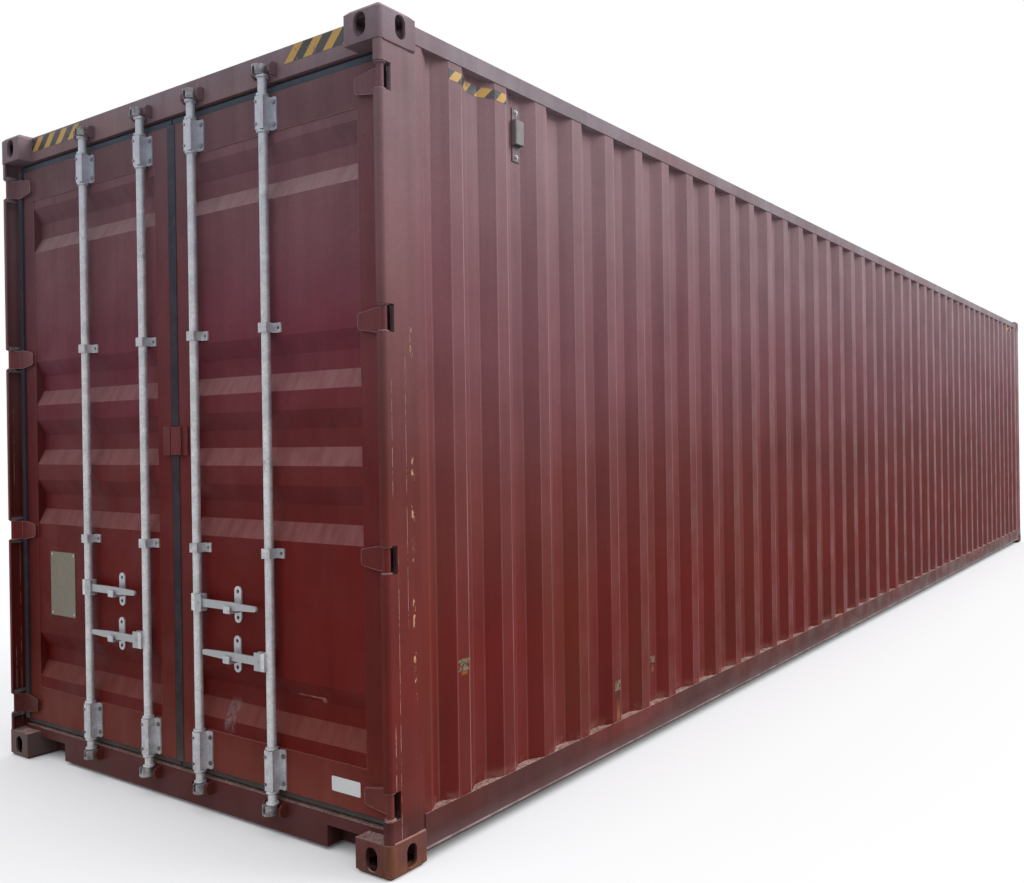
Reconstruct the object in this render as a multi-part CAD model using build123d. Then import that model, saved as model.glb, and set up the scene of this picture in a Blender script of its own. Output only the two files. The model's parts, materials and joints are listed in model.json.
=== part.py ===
from build123d import *
import os

os.makedirs("parts", exist_ok=True)

# Envelope of a 40 ft high-cube freight container, millimetres.
# X runs along the length with the doors at -X, Y across, Z up from the ground.
LENGTH = 12192.0
WIDTH = 2438.0
HEIGHT = 2896.0

# Corner castings; the twistlock apertures are placed from the end and side faces.
CAST_L = 178.0
CAST_W = 162.0
CAST_H = 118.0
CAST_SIDE_WALL = 15.0
CAST_END_WALL = 16.0
CAST_INNER_WALL = 11.0
CAST_FLOOR = 28.0
CAST_CEILING = 16.0
CAST_EDGE_R = 22.0
CAST_BEVEL = 14.0
TWIST_SLOT_L = 124.5
TWIST_SLOT_W = 63.5
TWIST_FROM_END = 103.5
TWIST_FROM_SIDE = 89.5
HOLE_H = 82.0
HOLE_RISE = 58.0
SIDE_HOLE_W = 51.0
END_HOLE_W = 56.0

# Clearances
INSET = 3.0
DOOR_CLEAR = 6.0
PIN_CLEAR = 0.8
ROD_CLEAR = 0.9
CUT_OVER = 5.0

# End frames
FRAME_SETBACK = 66.0
FRAME_DEPTH = 80.0
BASE_CLEAR = 15.0
SILL_STRIP = 16.0
SILL_NOTCH_L = 205.0
SILL_NOTCH_H = 78.0
HEADER_DROP = 8.0
STOP_DROP = 33.0
TUBE_T = 5.0
FRONT_BEAM_D = 77.0

# Rear posts: a box towards the cargo and a folded lip round the hinges
POST_T = 6.0
POST_JAMB = 36.0
POST_BOX_SETBACK = 74.0
POST_BOX_D = 67.0
POST_LIP = 30.0
POST_EDGE_R = 18.0
HINGE_SLOT_SETBACK = 56.0
HINGE_SLOT_CLEAR = 5.0

# Front posts and front wall
FRONT_POST_W = 60.0
FRONT_POST_R = 20.0
FRONT_WALL_INSET = 10.0
FRONT_RIB_DEPTH = 45.0
FRONT_RIB_PITCH = 250.0
FRONT_RIB_FLAT = 73.0
FRONT_RIB_SLOPE = 53.0

# Side rails
TOP_RAIL = 60.0
TOP_RAIL_T = 4.0
BOTTOM_RAIL_RISE = 55.0
BOTTOM_RAIL_H = 117.0
BOTTOM_RAIL_T = 5.0
BOTTOM_RAIL_FLANGE = 48.0

# Side walls: trapezoid ribs, the first recess starting behind the rear post
SHEET_T = 2.0
WALL_INSET = 6.0
RIB_DEPTH = 36.0
RIB_FLAT = 73.0
RIB_SLOPE = 66.0
RIB_PITCH = 274.0
FIRST_FLAT = 36.0
FIRST_RIB = 185.0
LAST_FLAT_MIN = 100.0

# Roof
ROOF_DROP = 30.0
ROOF_T = 2.0
ROOF_EDGE_INSET = 19.0
ROOF_RIB_H = 16.0
ROOF_RIB_W = 118.0
ROOF_RIB_L = 2230.0
ROOF_RIB_PITCH = 209.0
ROOF_END_FLAT = 50.0
ROOF_RIB_TAPER = 45.0
END_PLATE_T = 4.0

# Floor and its cross members
FLOOR_T = 28.0
FLOOR_BOARD_L = 1200.0
FLOOR_JOINT = 2.0
CROSS_H = 122.0
CROSS_PITCH = 420.0
CROSS_FLANGE = 45.0
CROSS_T = 4.0

# Side vents
VENT_DROP = 243.0
VENT_BASE_W = 48.0
VENT_BASE_H = 210.0
VENT_BASE_T = 5.0
VENT_W = 56.0
VENT_H = 97.0
VENT_D = 27.0
VENT_BEVEL = 3.0
VENT_COVER_RISE = 6.0
VENT_SHIFT = 5.0
VENT_COVER = 4.0
VENT_RECESS = 1

# Doors
DOOR_T = 50.0
DOOR_SIDE_GAP = 16.0
DOOR_HALF_GAP = 18.0
SEAL_GAP_BOTTOM = 36.0
SEAL_GAP_TOP = 41.0
DOOR_EDGE_R = 6.0
STILE_HINGE_W = 112.0
STILE_FREE_W = 90.0
RAIL_BOTTOM_H = 156.0
RAIL_TOP_H = 143.0
PANEL_SET = 2.0
GROOVE_DEPTH = 36.0
GROOVE_FLAT = 68.0
GROOVE_SLOPE = 68.0
GROOVE_MID_RISE = 7.0
GROOVE_PITCH = 275.0
GROOVE_FROM_BOTTOM = 155.0
GROOVE_FROM_TOP = 141.0

# Door gaskets
GASKET_SET = 10.0
GASKET_D = 35.0
GASKET_SIDE_LIP = 10.0
GASKET_HALF_GAP = 5.0
GASKET_BEVEL = 9.0

# Hinges
HINGE_SETBACK = 26.0
HINGE_INSET = 24.0
HINGE_FROM_BOTTOM = 72.0
HINGE_FROM_TOP = 78.0
HINGE_SHARES = (0.0, 0.337, 0.669, 1.0)
BARREL_R = 13.0
BARREL_H = 84.0
PIN_R = 7.5
PIN_PLATE_T = 12.0
PIN_PLATE_GAP = 1.0
LUG_T = 16.0
LUG_L = 111.0
LUG_TIP_H = 56.0
LUG_TAPER_L = 84.0
LUG_TIP_R = 12.0
LUG_BEND_IN = 6.0
LUG_BEND_OUT = 1.0
LUG_ARM_HALF = 9.0

# Lock rods and cams
ROD_STANDOFF = 26.0
ROD_R = 17.0
ROD_FROM_HINGE_EDGE = 570.0
ROD_FROM_FREE_EDGE = 151.0
CAM_BELOW_SILL_TOP = 31.0
CAM_ABOVE_HEADER_BOTTOM = 40.0
CAM_T = 36.0
CAM_R = 27.0
CAM_OFF = 8.0
CAM_MOUTH_W = 14.0
CAM_MOUTH_D = 15.0
CAM_BRIDGE = 10.0
KEEPER_GAP = 42.0
KEEPER_T = 10.0
KEEPER_H = 48.0
KEEPER_REACH = 36.0
KEEPER_BEVEL = 12.0

# Rod brackets
BRACKET_R = 22.0
BRACKET_T = 6.0
BRACKET_WIDE = 50.0
BRACKET_NARROW = 36.0
BRACKET_BEVEL = 5.0
BRACKET_EDGE_GAP = 4.0
BRACKET_TOP_GAP = 17.0
CLIP_WIDE = 56.0
CLIP_NARROW = 36.0
CLIP_H = 36.0
CLIP_BELOW_MID = 416.0
CLIP_ABOVE_MID = 413.0

# Handles and their retainers
HANDLE_HIGH_BELOW_MID = 625.0
HANDLE_LOW_BELOW_MID = 815.0
HANDLE_TIP_GAP = 53.0
HANDLE_T = 9.0
HANDLE_SETBACK = 44.0
HANDLE_GRIP_HALF = 10.0
HANDLE_NECK_L = 190.0
PIVOT_OFF = 38.0
PIVOT_R = 6.0
PIVOT_HEAD = 3.0
EYE_R = 15.0
HUB_H = 66.0
HUB_L = 58.0
HUB_D = 30.0
HUB_SLOT = 12.0
HUB_SLOT_START = 18.0
SEAT_SHARE = 0.58
SEAT_W = 36.0
SEAT_T = 7.0
LIP_T = 5.0
RETAINER_H = 140.0
RETAINER_W = 40.0
RETAINER_HOLE_R = 8.0
RETAINER_HOLE_RISE = 50.0

# Plates on the doors
OVERLAP_H = 114.0
OVERLAP_RISE = 4.0
OVERLAP_T = 8.0
OVERLAP_PAD_L = 75.0
OVERLAP_TONGUE_L = 64.0
OVERLAP_PAST_MID = 4.0
STOP_GAP = 7.0
STOP_L = 41.0
DATA_W = 201.0
DATA_H = 291.0
DATA_T = 2.0
DATA_FROM_HINGE_EDGE = 215.0
DATA_BELOW_MID = 639.5

# Planes and levels worked out from the sizes above
X_END = LENGTH / 2
Y_SIDE = WIDTH / 2
X_IN = X_END - CAST_L
Y_IN = Y_SIDE - CAST_W
Y_OUT = Y_SIDE - INSET
POST_Z0 = CAST_H
POST_Z1 = HEIGHT - CAST_H
FRAME_X = -X_END + FRAME_SETBACK
FRAME_BACK = FRAME_X + FRAME_DEPTH
FRONT_X1 = X_END - INSET
FRONT_X0 = FRONT_X1 - FRONT_BEAM_D
FRONT_POST_Y = Y_OUT - FRONT_POST_W
SILL_TOP = CAST_H + SILL_STRIP
FLOOR_BOTTOM = BASE_CLEAR + CROSS_H
FLOOR_TOP = FLOOR_BOTTOM + FLOOR_T
HEADER_BOTTOM = POST_Z1
HEADER_TOP = HEIGHT - HEADER_DROP
ROOF_Z = HEIGHT - ROOF_DROP
OPENING_Y = Y_OUT - POST_JAMB
BOTTOM_RAIL_TOP = BOTTOM_RAIL_RISE + BOTTOM_RAIL_H
FLOOR_Y = Y_OUT - BOTTOM_RAIL_FLANGE

DOOR_X = FRAME_X
STOP_X = DOOR_X + DOOR_T + DOOR_CLEAR
DOOR_Y = OPENING_Y - DOOR_SIDE_GAP
DOOR_Z0 = SILL_TOP + SEAL_GAP_BOTTOM
DOOR_Z1 = HEADER_BOTTOM - SEAL_GAP_TOP
STILE_HINGE_Y = DOOR_Y - STILE_HINGE_W
STILE_FREE_Y = DOOR_HALF_GAP + STILE_FREE_W
PANEL_Z0 = DOOR_Z0 + RAIL_BOTTOM_H
PANEL_Z1 = DOOR_Z1 - RAIL_TOP_H
PANEL_MID = (PANEL_Z0 + PANEL_Z1) / 2
PANEL_X = DOOR_X + PANEL_SET

HINGE_X = -X_END + HINGE_SETBACK
HINGE_Y = Y_SIDE - HINGE_INSET
HINGE_LOW = DOOR_Z0 + HINGE_FROM_BOTTOM
HINGE_SPAN = DOOR_Z1 - HINGE_FROM_TOP - HINGE_LOW
HINGE_Z = [HINGE_LOW + share * HINGE_SPAN for share in HINGE_SHARES]
HINGE_SLOT_H = BARREL_H + 2 * HINGE_SLOT_CLEAR
LUG_END_Y = DOOR_Y - LUG_L

ROD_X = DOOR_X - ROD_STANDOFF
ROD_OUTER_Y = DOOR_Y - ROD_FROM_HINGE_EDGE
ROD_INNER_Y = DOOR_HALF_GAP + ROD_FROM_FREE_EDGE
ROD_Y = (ROD_OUTER_Y, ROD_INNER_Y, -ROD_INNER_Y, -ROD_OUTER_Y)
CAM_Z = (SILL_TOP - CAM_BELOW_SILL_TOP, HEADER_BOTTOM + CAM_ABOVE_HEADER_BOTTOM)
HANDLE_X = DOOR_X - HANDLE_SETBACK
HANDLE_HIGH = PANEL_MID - HANDLE_HIGH_BELOW_MID
HANDLE_LOW = PANEL_MID - HANDLE_LOW_BELOW_MID
HANDLE_Z = (HANDLE_HIGH, HANDLE_LOW, HANDLE_HIGH, HANDLE_LOW)
HANDLE_SIDE = (-1, 1, -1, 1)
HANDLE_L = ROD_OUTER_Y - ROD_INNER_Y - HANDLE_TIP_GAP


def block(x0, x1, y0, y1, z0, z1):
    """Box between two opposite corners."""
    size = Box(abs(x1 - x0), abs(y1 - y0), abs(z1 - z0))
    return Pos((x0 + x1) / 2, (y0 + y1) / 2, (z0 + z1) / 2) * size


def flip_y(shape):
    """The same piece on the other side of the container."""
    return mirror(shape, about=Plane.XZ)


def flip_x(shape):
    """The same piece at the other end of the container."""
    return mirror(shape, about=Plane.YZ)


def rod(radius, x, y, z0, z1):
    """Upright cylinder."""
    return Pos(x, y, (z0 + z1) / 2) * Cylinder(radius, z1 - z0)


def pin_x(radius, x0, x1, y, z):
    """Cylinder lying along X."""
    return Pos((x0 + x1) / 2, y, z) * Rot(0, 90, 0) * Cylinder(radius, x1 - x0)


def upright_edges(shape, x, y):
    """Vertical edges that stand at one plan position."""
    return [
        e for e in shape.edges().filter_by(Axis.Z)
        if abs(e.center().X - x) < 0.01 and abs(e.center().Y - y) < 0.01
    ]


def save(name, *pieces):
    """Write the solids of one node."""
    solids = [s for p in pieces for s in p.solids()]
    shape = solids[0] if len(solids) == 1 else Compound(children=solids)
    shape.label = name
    export_step(shape, "parts/" + name + ".step")


def casting():
    """Bottom casting of the rear right corner, hollow, with its three apertures."""
    x0, y0 = -X_END, -Y_SIDE
    x1, y1 = x0 + CAST_L, y0 + CAST_W
    body = block(x0, x1, y0, y1, 0, CAST_H)
    body = fillet(upright_edges(body, x0, y0), CAST_EDGE_R)
    body = chamfer(body.edges().group_by(Axis.Z)[0], CAST_BEVEL)
    cx, cy = x0 + TWIST_FROM_END, y0 + TWIST_FROM_SIDE
    cavity = block(
        x0 + CAST_END_WALL, x1 - CAST_INNER_WALL,
        y0 + CAST_SIDE_WALL, y1 - CAST_INNER_WALL,
        CAST_FLOOR, CAST_H - CAST_CEILING,
    )
    twist = extrude(SlotOverall(TWIST_SLOT_L, TWIST_SLOT_W), CAST_FLOOR + 2 * CUT_OVER)
    side = extrude(SlotOverall(HOLE_H, SIDE_HOLE_W, rotation=90), -CAST_SIDE_WALL - 2 * CUT_OVER)
    end = extrude(SlotOverall(HOLE_H, END_HOLE_W), CAST_END_WALL + 2 * CUT_OVER)
    body -= cavity
    body -= Pos(cx, cy, -CUT_OVER) * twist
    body -= Pos(cx, y0 - CUT_OVER, HOLE_RISE) * Rot(90, 0, 0) * side
    body -= Pos(x0 - CUT_OVER, cy, HOLE_RISE) * Rot(0, 90, 0) * end
    return body


def four_corners(shape):
    """A piece of the rear right corner repeated at all four."""
    pair = [shape, flip_y(shape)]
    return pair + [flip_x(s) for s in pair]


def rear_post():
    """Right rear post: box, side plate, lip slotted at the hinges and a wall flange."""
    x_out = -X_END + INSET
    box_x0 = -X_END + POST_BOX_SETBACK
    box_x1 = box_x0 + POST_BOX_D
    wall_y = -Y_SIDE + WALL_INSET
    lip_y = -Y_OUT + POST_LIP
    post = block(box_x0, box_x1, -Y_OUT, -OPENING_Y, POST_Z0, POST_Z1)
    post += block(x_out, box_x0, -Y_OUT, -Y_OUT + POST_T, POST_Z0, POST_Z1)
    post += block(x_out, x_out + POST_T, -Y_OUT, lip_y, POST_Z0, POST_Z1)
    post += block(box_x1, -X_IN, wall_y, wall_y + POST_T, POST_Z0, POST_Z1)
    post = fillet(upright_edges(post, x_out, -Y_OUT), POST_EDGE_R)
    post = fillet(upright_edges(post, x_out + POST_T, -Y_OUT + POST_T), POST_EDGE_R - POST_T)
    post -= block(
        box_x0 + POST_T, box_x1 - POST_T, -Y_OUT + POST_T, -OPENING_Y - POST_T, POST_Z0, POST_Z1
    )
    slot_x = -X_END + HINGE_SLOT_SETBACK
    for z in HINGE_Z:
        post -= block(
            x_out - CUT_OVER, slot_x, -Y_OUT - CUT_OVER, lip_y + CUT_OVER,
            z - HINGE_SLOT_H / 2, z + HINGE_SLOT_H / 2,
        )
    return post


def front_post():
    """Right front post, one folded hollow section."""
    post = block(X_IN, FRONT_X1, -Y_OUT, -FRONT_POST_Y, POST_Z0, POST_Z1)
    post = fillet(upright_edges(post, FRONT_X1, -Y_OUT), FRONT_POST_R)
    return post - block(
        X_IN + POST_T, FRONT_X1 - POST_T, -Y_OUT + POST_T, -FRONT_POST_Y - POST_T, POST_Z0, POST_Z1
    )


def cross_tube(x0, x1, z0, z1):
    """Hollow beam across the container between two castings."""
    beam = block(x0, x1, -Y_IN, Y_IN, z0, z1)
    return beam - block(x0 + TUBE_T, x1 - TUBE_T, -Y_IN, Y_IN, z0 + TUBE_T, z1 - TUBE_T)


def door_sill():
    """Rear sill with a ledge for the threshold and a plated pocket beside each casting."""
    sill = cross_tube(FRAME_X, FRAME_BACK, BASE_CLEAR, SILL_TOP)
    sill -= block(STOP_X, FRAME_BACK, -Y_IN, Y_IN, CAST_H, SILL_TOP)
    t = TUBE_T
    top = BASE_CLEAR + SILL_NOTCH_H
    for side in (-1, 1):
        end = side * (Y_IN - SILL_NOTCH_L)
        sill += block(FRAME_X, FRAME_BACK, side * Y_IN, end - side * t, BASE_CLEAR, top + t)
        sill -= block(FRAME_X, FRAME_BACK - t, side * Y_IN, end, BASE_CLEAR, top)
    return sill


def door_threshold():
    """Upstand behind the doors, level with the floor, with ends that pass over the castings."""
    bar = block(STOP_X, FRAME_BACK, -OPENING_Y, OPENING_Y, CAST_H, FLOOR_TOP)
    for side in (-1, 1):
        bar += block(FRAME_X, STOP_X, side * Y_IN, side * OPENING_Y, CAST_H, SILL_TOP)
    return bar


def top_rail():
    """Right top rail, a square tube."""
    z0 = ROOF_Z - TOP_RAIL
    t = TOP_RAIL_T
    tube = block(-X_IN, X_IN, -Y_OUT, -Y_OUT + TOP_RAIL, z0, ROOF_Z)
    return tube - block(-X_IN, X_IN, -Y_OUT + t, -Y_OUT + TOP_RAIL - t, z0 + t, ROOF_Z - t)


def bottom_rail():
    """Right bottom rail, a channel open to the inside."""
    t = BOTTOM_RAIL_T
    z0, z1 = BOTTOM_RAIL_RISE, BOTTOM_RAIL_TOP
    rail = block(-X_IN, X_IN, -Y_OUT, -FLOOR_Y, z0, z1)
    return rail - block(-X_IN, X_IN, -Y_OUT + t, -FLOOR_Y, z0 + t, z1 - t)


def sheet_face(line, shift):
    """Closed outline of a folded sheet from its outer line and a shift through the sheet."""
    back = [(a + shift[0], b + shift[1]) for a, b in reversed(line)]
    return make_face(Polyline(*line, *back, close=True))


def side_wall():
    """Right side wall, vertical trapezoid ribs between the posts."""
    y0 = -Y_SIDE + WALL_INSET
    y1 = y0 + RIB_DEPTH
    first = -X_IN + FIRST_RIB
    ribs = int((X_IN - LAST_FLAT_MIN - first) / RIB_PITCH) + 1
    line = [(-X_IN, y0), (-X_IN + FIRST_FLAT, y0), (-X_IN + FIRST_FLAT + RIB_SLOPE, y1)]
    line.append((first - RIB_SLOPE, y1))
    for i in range(ribs):
        x = first + i * RIB_PITCH
        line.append((x, y0))
        if i < ribs - 1:
            line.append((x + RIB_FLAT, y0))
            line.append((x + RIB_FLAT + RIB_SLOPE, y1))
            line.append((x + RIB_PITCH - RIB_SLOPE, y1))
    line.append((X_IN, y0))
    face = sheet_face(line, (0, SHEET_T))
    height = ROOF_Z - TOP_RAIL - BOTTOM_RAIL_TOP
    return Pos(0, 0, BOTTOM_RAIL_TOP) * extrude(face, height)


def front_wall():
    """Closed end, deeper vertical ribs between sill and header."""
    x0 = X_END - FRONT_WALL_INSET
    x1 = x0 - FRONT_RIB_DEPTH
    ribs = int(2 * FRONT_POST_Y / FRONT_RIB_PITCH)
    start = -FRONT_RIB_PITCH * (ribs - 1) / 2 - FRONT_RIB_FLAT / 2
    line = [(x0, -FRONT_POST_Y)]
    for i in range(ribs):
        y = start + i * FRONT_RIB_PITCH
        if i > 0:
            line.append((x0, y))
        if i < ribs - 1:
            line.append((x0, y + FRONT_RIB_FLAT))
            line.append((x1, y + FRONT_RIB_FLAT + FRONT_RIB_SLOPE))
            line.append((x1, y + FRONT_RIB_PITCH - FRONT_RIB_SLOPE))
    line.append((x0, FRONT_POST_Y))
    face = sheet_face(line, (-SHEET_T, 0))
    return Pos(0, 0, POST_Z0) * extrude(face, POST_Z1 - POST_Z0)


def roof():
    """Roof sheet with pressed cross ribs that fade out before the rails."""
    edge_y = Y_SIDE - ROOF_EDGE_INSET
    plate = block(-X_IN, X_IN, -edge_y, edge_y, ROOF_Z, ROOF_Z + ROOF_T)
    ribs = int((2 * X_IN - 2 * ROOF_END_FLAT) / ROOF_RIB_PITCH)
    start = -ROOF_RIB_PITCH * (ribs - 1) / 2
    spots = [Pos(start + i * ROOF_RIB_PITCH, 0, ROOF_Z) for i in range(ribs)]
    rise = extrude(Rectangle(ROOF_RIB_W, ROOF_RIB_L), ROOF_RIB_H, taper=ROOF_RIB_TAPER)
    sheet = plate + [p * Pos(0, 0, ROOF_T) * rise for p in spots]
    return sheet - [p * rise for p in spots]


def roof_end_plates():
    """Flat plates that join the roof sheet to the two headers."""
    z0, z1 = ROOF_Z, ROOF_Z + END_PLATE_T
    rear = block(FRAME_BACK, -X_IN, -Y_IN, Y_IN, z0, z1)
    front = block(X_IN, FRONT_X0, -Y_IN, Y_IN, z0, z1)
    return [rear, front]


def floor_boards():
    """Plywood sheets laid crosswise with narrow joints, the last one notched round the posts."""
    x0 = FRAME_BACK
    x1 = X_END - FRONT_WALL_INSET - FRONT_RIB_DEPTH - SHEET_T - FLOOR_JOINT
    count = round((x1 - x0) / FLOOR_BOARD_L)
    step = (x1 - x0) / count
    gap = FLOOR_JOINT / 2
    boards = []
    for i in range(count):
        left = x0 + i * step + (gap if i else 0)
        right = x0 + (i + 1) * step - gap
        boards.append(block(left, right, -FLOOR_Y, FLOOR_Y, FLOOR_BOTTOM, FLOOR_TOP))
    for y in (-FLOOR_Y, FRONT_POST_Y):
        boards[-1] -= block(X_IN, x1, y, y + FLOOR_Y - FRONT_POST_Y, FLOOR_BOTTOM, FLOOR_TOP)
    return boards


def cross_members():
    """Channel beams that carry the floor."""
    t = CROSS_T
    z0, z1 = BASE_CLEAR, FLOOR_BOTTOM
    count = int(2 * X_IN / CROSS_PITCH)
    step = 2 * X_IN / count
    beams = []
    for i in range(count):
        x = -X_IN + (i + 0.5) * step
        beam = block(x, x + CROSS_FLANGE, -FLOOR_Y, FLOOR_Y, z0, z1)
        beam -= block(x + t, x + CROSS_FLANGE, -FLOOR_Y, FLOOR_Y, z0 + t, z1 - t)
        beams.append(beam)
    return beams


def vent():
    """Ventilator in a recess of the right wall: base plate and a cover open at its ends."""
    recess = RIB_PITCH - RIB_FLAT - 2 * RIB_SLOPE
    first = -X_IN + FIRST_RIB + RIB_FLAT + RIB_SLOPE + recess / 2
    x = first + VENT_RECESS * RIB_PITCH + VENT_SHIFT
    y = -Y_SIDE + WALL_INSET + RIB_DEPTH
    z = HEIGHT - VENT_DROP
    base = block(
        x - VENT_BASE_W / 2, x + VENT_BASE_W / 2, y - VENT_BASE_T, y,
        z - VENT_BASE_H / 2, z + VENT_BASE_H / 2,
    )
    z0 = z + VENT_COVER_RISE - VENT_H / 2
    half = VENT_W / 2
    cover = block(x - half, x + half, y - VENT_D, y, z0, z0 + VENT_H)
    cover = chamfer(cover.edges().group_by(Axis.Y)[0], VENT_BEVEL)
    half -= VENT_COVER
    duct = block(x - half, x + half, y - VENT_D + VENT_COVER, y - VENT_BASE_T, z0, z0 + VENT_H)
    return base + (cover - duct)


def keeper(y, z):
    """Two bevelled cheeks that stand on the end frame either side of a cam."""
    cheek = block(
        FRAME_X - KEEPER_REACH, FRAME_X, 0, KEEPER_T, z - KEEPER_H / 2, z + KEEPER_H / 2
    )
    cheek = chamfer(cheek.edges().filter_by(Axis.Y).group_by(Axis.X)[0], KEEPER_BEVEL)
    return [Pos(0, y + KEEPER_GAP, 0) * cheek, Pos(0, y - KEEPER_GAP - KEEPER_T, 0) * cheek]


def hinge_pin(z):
    """Pin with the two plates that hold it inside the right rear post."""
    reach = HINGE_SLOT_H / 2 + PIN_PLATE_GAP
    x_in = -X_END + INSET + POST_T
    y_in = -Y_OUT + POST_T
    half = reach + PIN_PLATE_T / 2
    pin = rod(PIN_R, HINGE_X, -HINGE_Y, z - half, z + half)
    for low in (z - reach - PIN_PLATE_T, z + reach):
        plate = block(
            x_in, -X_END + POST_BOX_SETBACK, y_in, -HINGE_Y + BARREL_R, low, low + PIN_PLATE_T
        )
        pin += chamfer(upright_edges(plate, x_in, y_in), POST_EDGE_R - POST_T)
    return pin


def hinge_lug(z):
    """Forged hinge of the right door: barrel, bent arm and a pad that narrows to its tip."""
    face_x = DOOR_X - LUG_T
    y = -HINGE_Y
    a = LUG_ARM_HALF
    plan = [
        (DOOR_X, -LUG_END_Y), (DOOR_X, -DOOR_Y + LUG_BEND_IN), (HINGE_X + a, y - a),
        (HINGE_X - a, y + a), (face_x, -DOOR_Y + LUG_BEND_OUT), (face_x, -LUG_END_Y),
    ]
    arm = extrude(make_face(Polyline(*plan, close=True)), BARREL_H)
    arm += rod(BARREL_R, HINGE_X, y, 0, BARREL_H)
    tip0 = (BARREL_H - LUG_TIP_H) / 2
    shoulder = -LUG_END_Y - LUG_TAPER_L
    end = y - BARREL_R
    outline = [
        (-LUG_END_Y, tip0), (shoulder, 0), (end, 0),
        (end, BARREL_H), (shoulder, BARREL_H), (-LUG_END_Y, BARREL_H - tip0),
    ]
    face = make_face(Polyline(*outline, close=True))
    face = fillet(face.vertices().group_by(Axis.X)[-1], LUG_TIP_R)
    trim = extrude(Plane.YZ * face, FRAME_SETBACK, both=True)
    arm = arm & (Pos(HINGE_X, 0, 0) * trim)
    arm -= rod(PIN_R + PIN_CLEAR, HINGE_X, y, 0, BARREL_H)
    return Pos(0, 0, z - BARREL_H / 2) * arm


def door_frame():
    """Right door frame, one welded ring."""
    x1 = DOOR_X + DOOR_T
    ring = block(DOOR_X, x1, -DOOR_Y, -DOOR_HALF_GAP, DOOR_Z0, DOOR_Z1)
    for y in (-DOOR_Y, -DOOR_HALF_GAP):
        ring = fillet(upright_edges(ring, DOOR_X, y), DOOR_EDGE_R)
    return ring - block(DOOR_X, x1, -STILE_HINGE_Y, -STILE_FREE_Y, PANEL_Z0, PANEL_Z1)


def door_panel():
    """Right door sheet with its five pressed grooves."""
    mid = PANEL_MID + GROOVE_MID_RISE
    centres = [
        PANEL_Z0 + GROOVE_FROM_BOTTOM, mid - GROOVE_PITCH, mid, mid + GROOVE_PITCH,
        PANEL_Z1 - GROOVE_FROM_TOP,
    ]
    deep = PANEL_X + GROOVE_DEPTH
    half = GROOVE_FLAT / 2
    line = [(PANEL_X, PANEL_Z0)]
    for c in centres:
        line.append((PANEL_X, c - half - GROOVE_SLOPE))
        line.append((deep, c - half))
        line.append((deep, c + half))
        line.append((PANEL_X, c + half + GROOVE_SLOPE))
    line.append((PANEL_X, PANEL_Z1))
    face = Plane.XZ * sheet_face(line, (SHEET_T, 0))
    return Pos(0, -STILE_FREE_Y, 0) * extrude(face, STILE_HINGE_Y - STILE_FREE_Y, dir=(0, -1, 0))


def door_gasket():
    """Rubber seal round the right door, bevelled along the outside like its soft lip."""
    x0 = DOOR_X + GASKET_SET
    x1 = x0 + GASKET_D
    y0, y1 = -DOOR_Y - GASKET_SIDE_LIP, -GASKET_HALF_GAP
    z0, z1 = SILL_TOP + DOOR_CLEAR, HEADER_BOTTOM - DOOR_CLEAR
    ring = block(x0, x1, y0, y1, z0, z1)
    ring = chamfer(ring.edges().filter_by(Axis.Y).group_by(Axis.X)[0], GASKET_BEVEL)
    return ring - block(x0, x1, -DOOR_Y, -DOOR_HALF_GAP, DOOR_Z0, DOOR_Z1)


def saddle(y, z0, z1, back, wide, narrow):
    """Hat-shaped strap round a rod with a bolting flange on each side."""
    inner = ROD_R + ROD_CLEAR
    r, bevel = BRACKET_R, BRACKET_BEVEL
    front = ROD_X - r
    flange = back - BRACKET_T
    outline = [
        (back, y - wide), (flange, y - wide), (flange, y - r), (front + bevel, y - r),
        (front, y - r + bevel), (front, y + r - bevel), (front + bevel, y + r),
        (flange, y + r), (flange, y + narrow), (back, y + narrow),
    ]
    strap = extrude(make_face(Polyline(*outline, close=True)), z1 - z0)
    strap -= block(ROD_X - inner, back, y - inner, y + inner, 0, z1 - z0)
    return Pos(0, 0, z0) * strap


def end_bracket(y, z0, z1):
    """Bearing on a door rail, its wide flange bevelled at the corners."""
    strap = saddle(y, z0, z1, DOOR_X, BRACKET_WIDE, BRACKET_NARROW)
    corners = [
        e for e in strap.edges().filter_by(Axis.X) if abs(e.center().Y - (y - BRACKET_WIDE)) < 0.01
    ]
    return chamfer(corners, BRACKET_BEVEL)


def clip(y, z):
    """Narrow guide on the door sheet."""
    return saddle(y, z - CLIP_H / 2, z + CLIP_H / 2, PANEL_X, CLIP_WIDE, CLIP_NARROW)


def rod_brackets(y):
    """The four bearings of one rod."""
    return [
        end_bracket(y, DOOR_Z0 + BRACKET_EDGE_GAP, PANEL_Z0 - BRACKET_EDGE_GAP),
        clip(y, PANEL_MID - CLIP_BELOW_MID),
        clip(y, PANEL_MID + CLIP_ABOVE_MID),
        end_bracket(y, PANEL_Z1 + BRACKET_EDGE_GAP, DOOR_Z1 - BRACKET_TOP_GAP),
    ]


def cam(y, z, side, outward):
    """Forged cam: an eye set off towards the keeper, with an open mouth and a bridge at its end."""
    x, y = ROD_X - CAM_OFF, y + side * CAM_OFF
    eye = rod(CAM_R, x, y, z - CAM_T / 2, z + CAM_T / 2)
    end = z + outward * (CAM_T / 2 - CAM_BRIDGE)
    half = CAM_MOUTH_W / 2
    return eye - block(
        x - CAM_R, x - CAM_R + CAM_MOUTH_D, y - half, y + half, z - outward * CAM_T / 2, end
    )


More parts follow.
